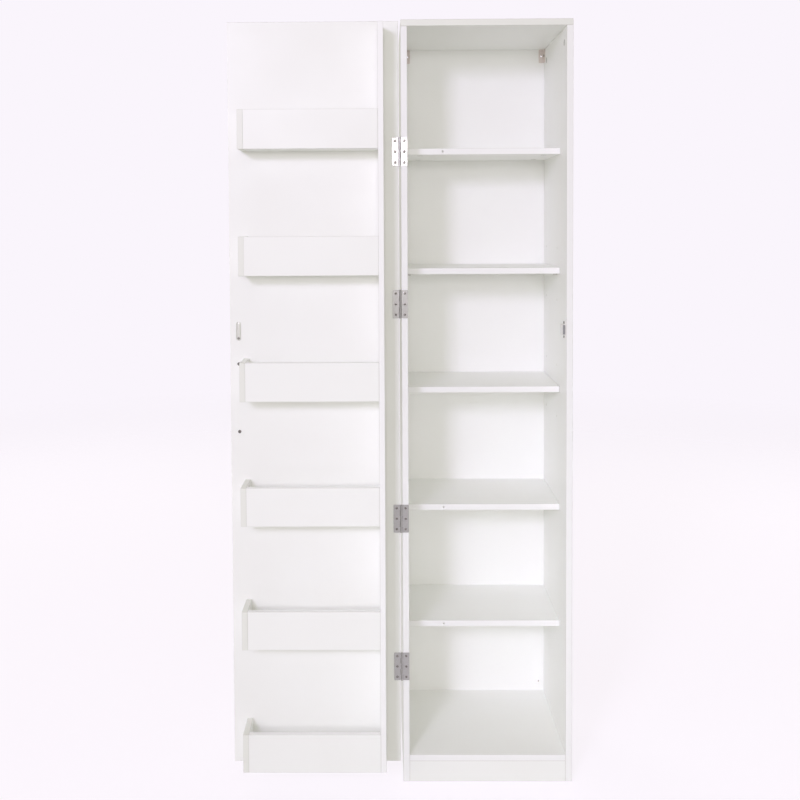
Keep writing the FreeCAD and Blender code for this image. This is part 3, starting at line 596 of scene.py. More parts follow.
# ---------------------------------------------------------------- shapes

def circle(radius: float, height: float = 0.0, points: int = RING_POINTS) -> list[Vector]:
    """A level ring of points about Z."""
    turns = [2 * math.pi * index / points for index in range(points)]
    return [Vector((radius * math.cos(turn), radius * math.sin(turn), height)) for turn in turns]


def cross(reach: float, half_width: float, height: float) -> list[Vector]:
    """The outline of a cross recess, with as many points as a ring.

    Args:
        reach: How far each arm goes from the middle.
        half_width: Half the width of an arm.
        height: The height of the outline.

    Returns:
        Points in order round the cross, the first one on +X.
    """
    step = (reach + half_width) / 2
    quarter = [
        (reach, 0.0), (reach, half_width), (step, half_width),
        (half_width, half_width), (half_width, step), (half_width, reach),
    ]
    points = []
    for turn in range(4):
        turned = Matrix.Rotation(turn * math.pi / 2, 3, "Z")
        points += [turned @ Vector((x, y, height)) for x, y in quarter]
    return points


def rounded_rectangle(
    width: float, height: float, radius: float, centre: tuple[float, float] = (0.0, 0.0)
) -> list[tuple[float, float]]:
    """A flat outline of a rectangle with round corners.

    Args:
        width: Its size along the first axis.
        height: Its size along the second axis.
        radius: The radius of its corners.
        centre: Its middle.

    Returns:
        Its points, in order.
    """
    steps = 6
    points = []
    corners = ((1, 1, 0), (-1, 1, 1), (-1, -1, 2), (1, -1, 3))
    for across, up, quarter in corners:
        middle_x = centre[0] + across * (width / 2 - radius)
        middle_y = centre[1] + up * (height / 2 - radius)
        for step in range(steps + 1):
            turn = (quarter + step / steps) * math.pi / 2
            points.append((middle_x + radius * math.cos(turn), middle_y + radius * math.sin(turn)))
    return points


def flat_circle(radius: float, centre: tuple[float, float]) -> list[tuple[float, float]]:
    """A flat round outline, such as a hole in a sheet."""
    return [(centre[0] + point.x, centre[1] + point.y) for point in circle(radius)]


def arc(
    radius: float, start: float, end: float, points: int = 20
) -> list[tuple[float, float]]:
    """Points along an arc about the origin, from one angle to another in radians."""
    turns = [start + (end - start) * index / (points - 1) for index in range(points)]
    return [(radius * math.cos(turn), radius * math.sin(turn)) for turn in turns]


def quarter_turns(steps: int) -> list[float]:
    """Evenly spaced angles from 0 to a quarter turn, both included."""
    return [step / steps * math.pi / 2 for step in range(steps + 1)]


class Shape:
    """A mesh in the making, in metres, and the piece that it becomes."""

    def __init__(self) -> None:
        """Start with nothing."""
        self.mesh = bmesh.new()

    def loft(self, rings: Sequence[Sequence[Vector]], place: Matrix) -> None:
        """Skin a closed solid through rings of equally many points.

        Args:
            rings: The rings, from one end to the other.
            place: Where the solid goes.
        """
        loops = [[self.mesh.verts.new(place @ point) for point in ring] for ring in rings]
        for lower, upper in zip(loops, loops[1:]):
            count = len(lower)
            for index in range(count):
                after = (index + 1) % count
                self.mesh.faces.new((lower[index], lower[after], upper[after], upper[index]))
        self.mesh.faces.new(list(reversed(loops[0])))
        self.mesh.faces.new(loops[-1])

    def lathe(self, outline: Outline, place: Matrix, points: int = RING_POINTS) -> None:
        """Turn an outline about Z.

        Args:
            outline: (radius, height) corners, from one end to the other.
            place: Where the solid goes.
            points: How many points each ring has.
        """
        self.loft([circle(radius, height, points) for radius, height in outline], place)

    def sheet(
        self, outlines: Sequence[Outline], thickness: float, rounding: float, place: Matrix
    ) -> None:
        """Press a flat sheet with holes, its mid-plane on Z = 0.

        Args:
            outlines: The outer edge first, then each hole.
            thickness: The sheet's thickness.
            rounding: The radius of its edges.
            place: Where the sheet goes.
        """
        curve = bpy.data.curves.new("blank", "CURVE")
        curve.dimensions = "2D"
        curve.fill_mode = "BOTH"
        curve.extrude = thickness / 2 - rounding
        curve.bevel_depth = rounding
        curve.bevel_resolution = 2
        curve.offset = -rounding
        for outline in outlines:
            spline = curve.splines.new("POLY")
            spline.points.add(len(outline) - 1)
            for point, (x, y) in zip(spline.points, outline):
                point.co = (x, y, 0.0, 1.0)
            spline.use_cyclic_u = True
        blank = bpy.data.objects.new("blank", curve)
        bpy.context.scene.collection.objects.link(blank)
        bpy.context.view_layer.update()
        pressed = bpy.data.meshes.new_from_object(blank)
        bpy.data.objects.remove(blank)
        pressed.transform(place)
        self.mesh.from_mesh(pressed)
        bpy.data.meshes.remove(pressed)

    def piece(
        self, name: str, finish: Finish, body: str, stands_for: Sequence[str]
    ) -> bpy.types.Object:
        """Turn the mesh into a piece of the cabinet.

        Args:
            name: The piece's name.
            finish: What it is finished in.
            body: The body that it rides on.
            stands_for: The frame's nodes that it takes the place of.

        Returns:
            The piece.
        """
        bmesh.ops.remove_doubles(self.mesh, verts=self.mesh.verts, dist=0.001 * MM)
        bmesh.ops.recalc_face_normals(self.mesh, faces=self.mesh.faces)
        data = bpy.data.meshes.new(name)
        self.mesh.to_mesh(data)
        self.mesh.free()
        data.materials.append(finish.material())
        data.shade_smooth()
        data.set_sharp_from_angle(angle=math.radians(35))
        item = bpy.data.objects.new(name, data)
        bpy.context.scene.collection.objects.link(item)
        even = item.modifiers.new("flat_faces", "WEIGHTED_NORMAL")
        even.keep_sharp = True
        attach(item, body)
        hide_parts(*stands_for)
        LOG.info("%s: %d faces in %s, on %s", name, len(data.polygons), finish.name, body)
        return item


@dataclass(frozen=True)
class Solid:
    """One separate solid of a frame node: its lowest and highest corner."""

    low: Vector
    high: Vector

    @property
    def middle(self) -> Vector:
        """The middle of its box."""
        return (self.low + self.high) / 2


def solids_of(node: str) -> list[Solid]:
    """Split a frame node into its separate solids.

    Args:
        node: The node's name.

    Returns:
        The solids, sorted by height, then by X, then by Y.
    """
    mesh = bmesh.new()
    mesh.from_mesh(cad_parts[node].data)
    bmesh.ops.remove_doubles(mesh, verts=mesh.verts, dist=0.01 * MM)
    seen: set[int] = set()
    found = []
    mesh.verts.ensure_lookup_table()
    for start in mesh.verts:
        if start.index in seen:
            continue
        seen.add(start.index)
        waiting = [start]
        reached = []
        while waiting:
            vertex = waiting.pop()
            reached.append(vertex.co.copy())
            for edge in vertex.link_edges:
                other = edge.other_vert(vertex)
                if other.index not in seen:
                    seen.add(other.index)
                    waiting.append(other)
        low = Vector(min(point[axis] for point in reached) for axis in range(3))
        high = Vector(max(point[axis] for point in reached) for axis in range(3))
        found.append(Solid(low, high))
    mesh.free()
    return sorted(found, key=lambda solid: tuple(round(v, 4) for v in solid.middle.zxy))


def driven(point: Vector, direction: Vector) -> Matrix:
    """The place of a fastener: its own +Z turned along a direction, from a point."""
    turn = UPWARD.rotation_difference(direction)
    return Matrix.Translation(point) @ turn.to_matrix().to_4x4()


# ---------------------------------------------------------------- boards

@dataclass
class Boards:
    """The flat boards, which keep the frame's shape and get soft edges and a finish."""

    rounding: float = 0.7 * MM
    join_within: float = 0.01 * MM
    flat_under: float = math.radians(1)
    sharp_over: float = math.radians(35)

    def soften(self, node: str, rounding: float | None = None) -> None:
        """Round the edges of a frame node a little, as a tape trimmer or a press does.

        Args:
            node: The node's name.
            rounding: The width of the rounding, or None for the boards' own.
        """
        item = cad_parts[node]
        weld = item.modifiers.new("join", "WELD")
        weld.merge_threshold = self.join_within
        planes = item.modifiers.new("whole_planes", "DECIMATE")
        planes.decimate_type = "DISSOLVE"
        planes.angle_limit = self.flat_under
        bevel = item.modifiers.new("soft_edges", "BEVEL")
        bevel.width = rounding or self.rounding
        bevel.segments = 2
        bevel.limit_method = "ANGLE"
        bevel.angle_limit = self.sharp_over
        bevel.use_clamp_overlap = False
        flatten = item.modifiers.new("flat_faces", "WEIGHTED_NORMAL")
        flatten.mode = "FACE_AREA"
        flatten.weight = 50
        flatten.keep_sharp = False

    def dress(self, node: str, finish: Finish, rounding: float | None = None) -> None:
        """Give a frame node its finish and soft edges.

        Args:
            node: The node's name.
            finish: What it is finished in.
            rounding: The width of the rounding, or None for the boards' own.
        """
        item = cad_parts[node]
        for slot in item.material_slots:
            slot.link = "OBJECT"
            slot.material = finish.material()
        self.soften(node, rounding)
        LOG.info("%s: dressed in %s", node, finish.name)

    def build(self) -> None:
        """Dress every board."""
        by_axis = {
            Axis.X: ["left_side_panel", "right_side_panel", "rack_upright"],
            Axis.Y: ["door_panel", "kick_board"],
            Axis.Z: ["top_panel", "bottom_panel"],
        }
        for node in sorted(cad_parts):
            if node.startswith("shelf_") and node != "shelf_pegs":
                by_axis[Axis.Z].append(node)
            elif node.startswith("rack_") and node.endswith("_side"):
                by_axis[Axis.X].append(node)
            elif node.startswith("rack_") and node.endswith("_front"):
                by_axis[Axis.Y].append(node)
            elif node.startswith("rack_") and node.endswith("_floor"):
                by_axis[Axis.Z].append(node)
        for thin, nodes in by_axis.items():
            for node in nodes:
                greenish = node == "top_panel" or node.endswith("_side")
                self.dress(node, melamine(thin, greenish))
        self.dress("back_panel", BACK_HARDBOARD, 0.25 * MM)


# ---------------------------------------------------------------- screws and nails

@dataclass
class Screw:
    """A cross-recess screw that is driven along its own +Z, its seat at Z = 0."""

    head: float
    head_height: float
    shank: float
    length: float
    pitch: float = 1.3 * MM
    countersunk: bool = True
    recess_reach: float = 1.5 * MM
    recess_half_width: float = 0.42 * MM
    recess_depth: float = 1.0 * MM
    dome: float = 0.0

    def rings(self) -> list[list[Vector]]:
        """The screw's rings, from the bottom of its recess out and down to its point."""
        top = -self.dome if self.countersunk else -self.head_height
        radius = self.head / 2
        core = self.shank / 2
        floor = top + self.recess_depth
        lip = 0.06 * MM
        break_edge = 0.08 * MM
        rim = 0.15 * MM
        rings = [
            cross(self.recess_reach * 0.45, self.recess_half_width * 0.6, floor),
            cross(self.recess_reach, self.recess_half_width, top + lip),
            cross(self.recess_reach + break_edge, self.recess_half_width + break_edge, top),
        ]
        if self.countersunk:
            for share in (0.72, 0.84, 0.93):
                rings.append(circle(radius * share, top + self.dome * (share - 0.55) / 0.5))
            rings += [circle(radius, 0.0), circle(radius, rim)]
            rings.append(circle(core, self.head_height))
        else:
            for turn in quarter_turns(5):
                rings.append(circle(
                    radius * (0.72 + 0.28 * math.sin(turn)),
                    top + self.head_height * 0.7 * (1 - math.cos(turn)),
                ))
            rings += [circle(radius, 0.0), circle(core, 0.0)]
        tip = self.length - self.shank
        root = core * 0.78
        height = (self.head_height if self.countersunk else 0.0) + self.pitch
        while height + self.pitch < tip:
            rings.append(circle(root, height))
            rings.append(circle(core, height + self.pitch * 0.4))
            rings.append(circle(core, height + self.pitch * 0.5))
            rings.append(circle(root, height + self.pitch * 0.9))
            height += self.pitch
        rings += [circle(root, tip), circle(0.1 * MM, self.length)]
        return rings

    def drive(self, shape: Shape, seat: Vector, direction: Vector) -> None:
        """Add one such screw to a shape, from its seat along a direction."""
        shape.loft(self.rings(), driven(seat, direction))


@dataclass
class Fastenings:
    """The screws and nails that show, each set of them one piece."""

    hinge_screw: Screw
    strike_screw: Screw
    small_screw: Screw
    handle_screw: Screw
    nail_rise: float = 0.8 * MM
    nail_radius: float = 0.8 * MM

    def along_y(self, node: str, name: str, screw: Screw, body: str, rise: float) -> None:
        """Put a detailed screw in the place of each solid of a node that is driven along +Y.

        Args:
            node: The frame's node.
            name: The new piece's name.
            screw: The screw.
            body: The body that it rides on.
            rise: How far the head stands in front of its seat.
        """
        shape = Shape()
        for solid in solids_of(node):
            seat = Vector((solid.middle.x, solid.low.y + rise, solid.middle.z))
            screw.drive(shape, seat, FORWARD)
        shape.piece(name, SCREW_ZINC, body, [node])

    def along_x(self, node: str, name: str, screw: Screw, body: str) -> None:
        """Put a detailed screw in the place of each solid of a node that is driven outward.

        Args:
            node: The frame's node.
            name: The new piece's name.
            screw: The screw.
            body: The body that it rides on.
        """
        centre = (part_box("top_panel")[0].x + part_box("top_panel")[1].x) / 2
        shape = Shape()
        for solid in solids_of(node):
            if solid.middle.x > centre:
                seat = Vector((solid.low.x + screw.head_height, solid.middle.y, solid.middle.z))
                screw.drive(shape, seat, RIGHTWARD)
            else:
                seat = Vector((solid.high.x - screw.head_height, solid.middle.y, solid.middle.z))
                screw.drive(shape, seat, -RIGHTWARD)
        shape.piece(name, SCREW_ZINC, body, [node])

    def nails(self) -> None:
        """Put a domed nail in the place of each nail of the back."""
        shape = Shape()
        for solid in solids_of("back_nails"):
            head = (solid.high.x - solid.low.x) / 2
            rise = self.nail_rise
            shank = self.nail_radius
            length = solid.high.y - solid.low.y - rise
            outline = [
                (0.1 * head, -rise), (0.55 * head, -0.95 * rise), (0.85 * head, -0.75 * rise),
                (head, -0.4 * rise), (head, 0.0), (shank, 0.0), (shank, length - 2 * shank),
                (0.1 * shank, length),
            ]
            seat = Vector((solid.middle.x, solid.high.y - rise, solid.middle.z))
            shape.lathe(outline, driven(seat, -FORWARD), 16)
        shape.piece("back_nail_set", NAIL_STEEL, "carcass", ["back_nails"])

    def build(self) -> None:
        """Make every set."""
        self.along_y("hinge_carcass_screws", "hinge_screw_set_carcass", self.hinge_screw, "carcass", 0.0)
        self.along_y("hinge_door_screws", "hinge_screw_set_door", self.hinge_screw, "door", 0.0)
        self.along_y("strike_plate_screw", "strike_screw", self.strike_screw, "door", 0.0)
        self.along_y(
            "handle_screws", "handle_screw_pair", self.handle_screw, "door",
            self.handle_screw.head_height,
        )
        self.along_x("bracket_screws", "bracket_screw_pair", self.small_screw, "carcass")
        self.along_x("catch_screws", "catch_screw_pair", self.small_screw, "carcass")
        self.nails()


# ---------------------------------------------------------------- hinges

@dataclass
class Hinges:
    """Four pressed butt hinges, each two rolled leaves and a pin."""

    count: int = 4
    knuckles: int = 5
    thickness: float = 1.2 * MM
    barrel: float = 5.4 * MM
    eye: float = 2.5 * MM
    play: float = 0.2 * MM
    leaf_width: float = 15 * MM
    corner: float = 1.5 * MM
    hole: float = 6.1 * MM
    screw_step: float = 25 * MM
    seam: float = math.radians(9)
    plate_rounding: float = 0.15 * MM
    roll_rounding: float = 0.12 * MM
    overlap: float = 0.3 * MM
    pin_radius: float = 1.2 * MM
    pin_head: float = 0.6 * MM

    def leaf(self, number: int, side: int) -> None:
        """One leaf: a flat with three holes and tabs, each tab rolled round the pin.

        Args:
            number: The hinge's number, from the lowest.
            side: 1 for the leaf on the carcass and -1 for the leaf on the door.
        """
        owner = "carcass" if side > 0 else "door"
        node = f"hinge_{number}_{owner}_leaf"
        low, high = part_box(node)
        pin_low, pin_high = self.pin_box(number)
        axis = (pin_low + pin_high) / 2
        length = high.z - low.z
        pitch = length / self.knuckles
        back = max(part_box("left_side_panel")[0].y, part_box("door_panel")[0].y)
        flat_middle = back - self.thickness / 2
        outer = high.x if side > 0 else low.x
        plate_edge = outer - side * self.leaf_width
        shape = Shape()
        # The flat lies in local X (across, away from the pin) and Y (up).
        place = Matrix.Translation((0.0, flat_middle, low.z)) @ Matrix.Rotation(math.pi / 2, 4, "X")
        middle = (outer + plate_edge) / 2
        plate = rounded_rectangle(self.leaf_width, length, self.corner, (middle, length / 2))
        holes = [
            flat_circle(self.hole / 2, (middle, length / 2 + step * self.screw_step))
            for step in (-1, 0, 1)
        ]
        shape.sheet([plate, *holes], self.thickness, self.plate_rounding, place)
        first = 0 if side > 0 else 1
        for knuckle in range(first, self.knuckles, 2):
            bottom = low.z + knuckle * pitch + self.play / 2
            self.roll(shape, axis, plate_edge, flat_middle, bottom, pitch - self.play, side)
        shape.piece(f"hinge_{number}_{owner}_rolled_leaf", HINGE_ZINC, owner, [node])

    def roll(
        self, shape: Shape, axis: Vector, plate_edge: float, flat_middle: float,
        bottom: float, height: float, side: int,
    ) -> None:
        """Roll one tab of a leaf round the pin.

        Args:
            shape: The leaf's shape.
            axis: A point on the pin's axis.
            plate_edge: The X of the flat's edge beside the pin.
            flat_middle: The Y of the flat's mid-plane.
            bottom: The height of the tab's lower end.
            height: The tab's height.
            side: 1 for the carcass's leaf, -1 for the door's.
        """
        outside = self.barrel / 2
        inside = self.eye / 2
        web_back = flat_middle + self.thickness / 2 - axis.y
        web_front = web_back - self.thickness
        start = math.asin(web_back / outside)
        front_outer = math.asin(web_front / outside)
        seam_end = front_outer - self.seam + 2 * math.pi
        reach = abs(plate_edge - axis.x) + self.overlap
        # Local X points from the pin to the flat, local Y to the back.
        outline = [(reach, web_front), (reach, web_back)]
        outline += arc(outside, start, seam_end, 40)
        outline += reversed(arc(inside, front_outer, seam_end, 32))
        outline.append((math.sqrt(inside ** 2 - min(web_front, inside) ** 2) + 0.2 * MM, web_front))
        mirrored = Matrix.Diagonal((side, 1, 1, 1))
        turned = Matrix.Translation((axis.x, axis.y, bottom + height / 2)) @ mirrored
        shape.sheet([outline], height, self.roll_rounding, turned)

    def pin_box(self, number: int) -> tuple[Vector, Vector]:
        """The box of a hinge's pin, counted from the lowest hinge."""
        pins = solids_of("hinge_pins")
        return pins[number - 1].low, pins[number - 1].high

    def pins(self) -> None:
        """The four pins, with peened heads."""
        shape = Shape()
        for solid in solids_of("hinge_pins"):
            radius = (solid.high.x - solid.low.x) / 2
            shank = self.pin_radius
            head = self.pin_head
            length = solid.high.z - solid.low.z
            outline = [
                (0.3 * radius, 0.0), (0.7 * radius, 0.1 * head), (0.95 * radius, 0.45 * head),
                (radius, head), (shank, head), (shank, length - head), (radius, length - head),
                (0.95 * radius, length - 0.45 * head), (0.7 * radius, length - 0.1 * head),
                (0.3 * radius, length),
            ]
            foot = Vector((solid.middle.x, solid.middle.y, solid.low.z))
            shape.lathe(outline, Matrix.Translation(foot))
        shape.piece("hinge_pin_set", HINGE_ZINC, "carcass", ["hinge_pins"])

    def build(self) -> None:
        """Make the leaves and the pins."""
        for number in range(1, self.count + 1):
            self.leaf(number, 1)
            self.leaf(number, -1)
        self.pins()


# ---------------------------------------------------------------- flat-pack fittings

@dataclass
class Fittings:
    """Cam locks, pegs, brackets and the hidden dowels and bolts."""

    cam_cap: float = 3 * MM
    cam_wall: float = 2.4 * MM
    cam_throat: float = math.radians(34)
    peg_radius: float = 2.5 * MM
    spoon_thickness: float = 2 * MM
    bracket_thickness: float = 1.5 * MM
    bracket_corner: float = 2 * MM
    bracket_hole: float = 2.55 * MM
    bracket_screw_hole: float = 1.6 * MM
    pressed_edge: float = 0.2 * MM
    bend_steps: int = 8

    @staticmethod
    def inner_faces() -> tuple[float, float, float]:
        """The X of the two side panels' inner faces, and of the middle between them."""
        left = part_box("left_side_panel")[1].x
        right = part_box("right_side_panel")[0].x
        return left, right, (left + right) / 2

    def cam(self, shape: Shape, solid: Solid, face: Vector, throat: Vector) -> None:
        """One cam lock: a capped drum with a cross recess, and a wall that is open at its throat.

        Args:
            shape: The shape that it is added to.
            solid: The frame's own solid.
            face: The direction that its visible face looks.
            throat: The direction of its bolt.
        """
        sizes = solid.high - solid.low
        depth = min(sizes)
        radius = max(sizes) / 2
        middle = solid.middle
        top = middle + face * depth / 2
        across = face.cross(throat)
        basis = Matrix((throat, across, -face)).transposed().to_4x4()
        if basis.determinant() < 0:
            basis = Matrix((throat, -across, -face)).transposed().to_4x4()
        place = Matrix.Translation(top) @ basis
        rings = [
            cross(0.9 * MM, 0.5 * MM, 2.2 * MM),
            cross(3.2 * MM, 0.7 * MM, 0.12 * MM),
            cross(3.3 * MM, 0.8 * MM, 0.0),
            circle(radius - 1.6 * MM, 0.0),
            circle(radius - 1.5 * MM, 0.15 * MM),
            circle(radius - 1.0 * MM, 0.15 * MM),
            circle(radius - 0.9 * MM, 0.0),
            circle(radius - 0.25 * MM, 0.0),
            circle(radius, 0.25 * MM),
            circle(radius, self.cam_cap),
        ]
        shape.loft(rings, place)
        gap = self.cam_throat
        outline = arc(radius, gap, 2 * math.pi - gap, 40)
        outline += reversed(arc(radius - self.cam_wall, gap, 2 * math.pi - gap, 40))
        wall = depth - self.cam_cap
        under = place @ Matrix.Translation((0.0, 0.0, self.cam_cap + wall / 2 - 0.02 * MM))
        shape.sheet([outline], wall, 0.15 * MM, under)

    def cams(self) -> None:
        """Every cam lock, with its face on the board's own face."""
        centre = self.inner_faces()[2]
        shape = Shape()
        for solid in solids_of("cam_locks"):
            sizes = solid.high - solid.low
            outward = -RIGHTWARD if solid.middle.x < centre else RIGHTWARD
            in_side_panel = sizes.x < sizes.y - 0.5 * MM
            if in_side_panel:
                self.cam(shape, solid, -outward, UPWARD)
            else:
                self.cam(shape, solid, -UPWARD, outward)
        shape.piece("cam_lock_set", CAM_ZINC, "carcass", ["cam_locks"])

    def pegs(self) -> None:
        """Spoon pegs: a round pin and a flat spoon under the shelf."""
        left_inner, right_inner, centre = self.inner_faces()
        shape = Shape()
        radius = self.peg_radius
        thick = self.spoon_thickness
        for solid in solids_of("shelf_pegs"):
            on_left = solid.middle.x < centre
            inward = 1 if on_left else -1
            panel = left_inner if on_left else right_inner
            hidden = abs((solid.low.x if on_left else solid.high.x) - panel)
            shown = abs((solid.high.x if on_left else solid.low.x) - panel)
            middle = Vector((panel, solid.middle.y, solid.high.z - radius))
            place = driven(middle, Vector((inward, 0, 0)))
            outline = [
                (radius - 0.6 * MM, -hidden), (radius, 0.6 * MM - hidden), (radius, 0.02 * MM),
                (radius, 0.9 * MM), (radius, shown - 1.0 * MM),
                (radius - 0.5 * MM, shown - 0.3 * MM), (radius - 1.2 * MM, shown),
            ]
            shape.lathe(outline, place)
            width = solid.high.y - solid.low.y
            spoon = rounded_rectangle(
                shown - 0.02 * MM, width, 0.36 * width, (inward * shown / 2, 0.0)
            )
            flat = Matrix.Translation((panel, solid.middle.y, solid.high.z - thick / 2))
            shape.sheet([spoon], thick, 0.3 * MM, flat)
        shape.piece("shelf_peg_set", PEG_NICKEL, "carcass", ["shelf_pegs"])

    def bracket(self, node: str, name: str) -> None:
        """A corner bracket: two pressed leaves with a round bend between them.

        Args:
            node: The frame's node.
            name: The new piece's name.
        """
        low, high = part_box(node)
        on_left = low.x < self.inner_faces()[2]
        inward = 1 if on_left else -1
        corner = low.x if on_left else high.x
        thick = self.bracket_thickness
        edge = self.pressed_edge
        wide = high.x - low.x - thick
        deep = high.y - low.y - thick
        tall = high.z - low.z
        hole_along = wide / 2 + thick
        shape = Shape()
        # The sheets are drawn lying down, with Y for height, and this stands them up.
        upright = Matrix.Rotation(math.pi / 2, 4, "X")
        back_place = Matrix.Translation((corner, high.y - thick / 2, low.z)) @ upright
        plate_middle = (inward * (thick + wide / 2), tall / 2)
        plate = rounded_rectangle(wide, tall, self.bracket_corner, plate_middle)
        hole = flat_circle(self.bracket_hole, (inward * hole_along, tall / 2))
        shape.sheet([plate, hole], thick, edge, back_place)
        side_place = Matrix.Translation((corner + inward * thick / 2, high.y, low.z))
        side_place = side_place @ Matrix.Rotation(math.pi / 2, 4, "Z") @ upright
        leaf = rounded_rectangle(deep, tall, self.bracket_corner, (-thick - deep / 2, tall / 2))
        screw = flat_circle(self.bracket_screw_hole, (-hole_along, tall / 2))
        shape.sheet([leaf, screw], thick, edge, side_place)
        # The bend joins the two leaves with an outer and an inner radius.
        outer = 2.4 * thick
        inner = outer - thick
        turns = quarter_turns(self.bend_steps)[1:-1]
        bent = [(0.0, -outer)]
        bent += [(outer - outer * math.cos(turn), outer * math.sin(turn) - outer) for turn in turns]
        bent += [(outer, 0.0), (outer, -thick)]
        bent += [
            (outer - inner * math.cos(turn), inner * math.sin(turn) - outer)
            for turn in reversed(turns)
        ]
        bent.append((thick, -outer))
        outline = [(inward * x, y) for x, y in bent]
        bend_place = Matrix.Translation((corner, high.y, low.z + tall / 2))
        shape.sheet([outline], tall, edge, bend_place)
        shape.piece(name, BRACKET_PAINT, "carcass", [node])

    def build(self, boards: Boards) -> None:
        """Make the fittings that show and dress the hidden ones.

        Args:
            boards: What softens the frame's own nodes.
        """
        self.cams()
        self.pegs()
        self.bracket("corner_bracket_left", "pressed_bracket_left")
        self.bracket("corner_bracket_right", "pressed_bracket_right")
        boards.dress("carcass_dowels", BEECH, 0.15 * MM)
        boards.dress("rack_dowels", BEECH, 0.15 * MM)
        boards.dress("cam_bolts", SCREW_ZINC, 0.15 * MM)


# ---------------------------------------------------------------- catch, strike and handle

@dataclass
class Closing:
    """The magnetic catch, its strike plate and the handle."""

    strike_profile_mm: tuple[tuple[float, float], ...] = (
        (0.0, 0.35), (0.15, 0.1), (0.5, 0.0), (1.0, 0.0), (1.3, 0.15), (1.7, 0.7),
        (2.3, 0.75), (2.9, 0.5), (3.6, 0.42), (4.4, 0.4),
    )
    collar_profile_mm: tuple[tuple[float, float], ...] = (
        (3.4, 0.3), (3.3, 0.05), (2.9, -0.05), (2.75, 0.1), (2.75, 0.3),
    )
    collar_seat: float = 0.45 * MM

    def strike(self) -> None:
        """The strike: a plate with round ends, a rolled rim and a dished middle."""
        low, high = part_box("strike_plate")
        screw = solids_of("strike_plate_screw")[0].middle
        width = high.x - low.x
        length = high.z - low.z
        thick = high.y - low.y
        centre = (low + high) / 2
        shape = Shape()

        def track(inset: float, depth: float) -> list[Vector]:
            """A level outline of the plate, moved inward and to a depth."""
            outline = rounded_rectangle(
                width - 2 * inset, length - 2 * inset, (width - 2 * inset) / 2 - 0.01 * MM
            )
            return [Vector((x, y, depth)) for x, y in outline]

        steps = [(0.05 * MM, thick), (0.0, thick - 0.1 * MM)]
        steps += [(inset * MM, depth * MM) for inset, depth in self.strike_profile_mm]
        rings = [track(inset, depth) for inset, depth in steps]
        # Local Z runs along +Y and local Y runs up, so local X is turned over.
        place = Matrix(((-1, 0, 0, centre.x), (0, 0, 1, low.y), (0, 1, 0, centre.z), (0, 0, 0, 1)))
        shape.loft(rings, place)
        seat = Vector((screw.x, low.y + self.collar_seat, screw.z))
        collar = [(radius * MM, height * MM) for radius, height in self.collar_profile_mm]
        shape.lathe(collar, driven(seat, FORWARD))
        shape.piece("dished_strike_plate", STRIKE_NICKEL, "door", ["strike_plate"])

    def build(self, boards: Boards) -> None:
        """Make the strike and dress the catch and the handle.

        Args:
            boards: What softens the frame's own nodes.
        """
        self.strike()
        boards.dress("catch_housing", CATCH_ABS, 0.5 * MM)
        boards.dress("catch_magnet", FERRITE, 0.2 * MM)
        boards.dress("catch_pole_plates", POLE_STEEL, 0.15 * MM)
        boards.dress("door_handle", HANDLE_STEEL, 0.4 * MM)


# ---------------------------------------------------------------- studio

@dataclass
class Lamp:
    """One soft lamp: where it hangs, what it looks at, its size, its strength and its beam."""

    name: str
    place: tuple[float, float, float]
    aim: tuple[float, float, float]
    width: float
    height: float
    watts: float
    colour: str
    beam: float = math.pi

    def build(self) -> None:
        """Hang the lamp."""
        data = bpy.data.lights.new(self.name, "AREA")
        data.shape = "RECTANGLE"
        data.size = self.width
        data.size_y = self.height
        data.energy = self.watts
        data.color = linear(self.colour)[:3]
        data.spread = self.beam
        lamp = bpy.data.objects.new(self.name, data)
        bpy.context.scene.collection.objects.link(lamp)
        lamp.visible_camera = False
        lamp.location = self.place
        look = Vector(self.aim) - Vector(self.place)
        lamp.rotation_euler = look.to_track_quat("-Z", "Y").to_euler()
        LOG.info("%s: %.0f W", self.name, self.watts)


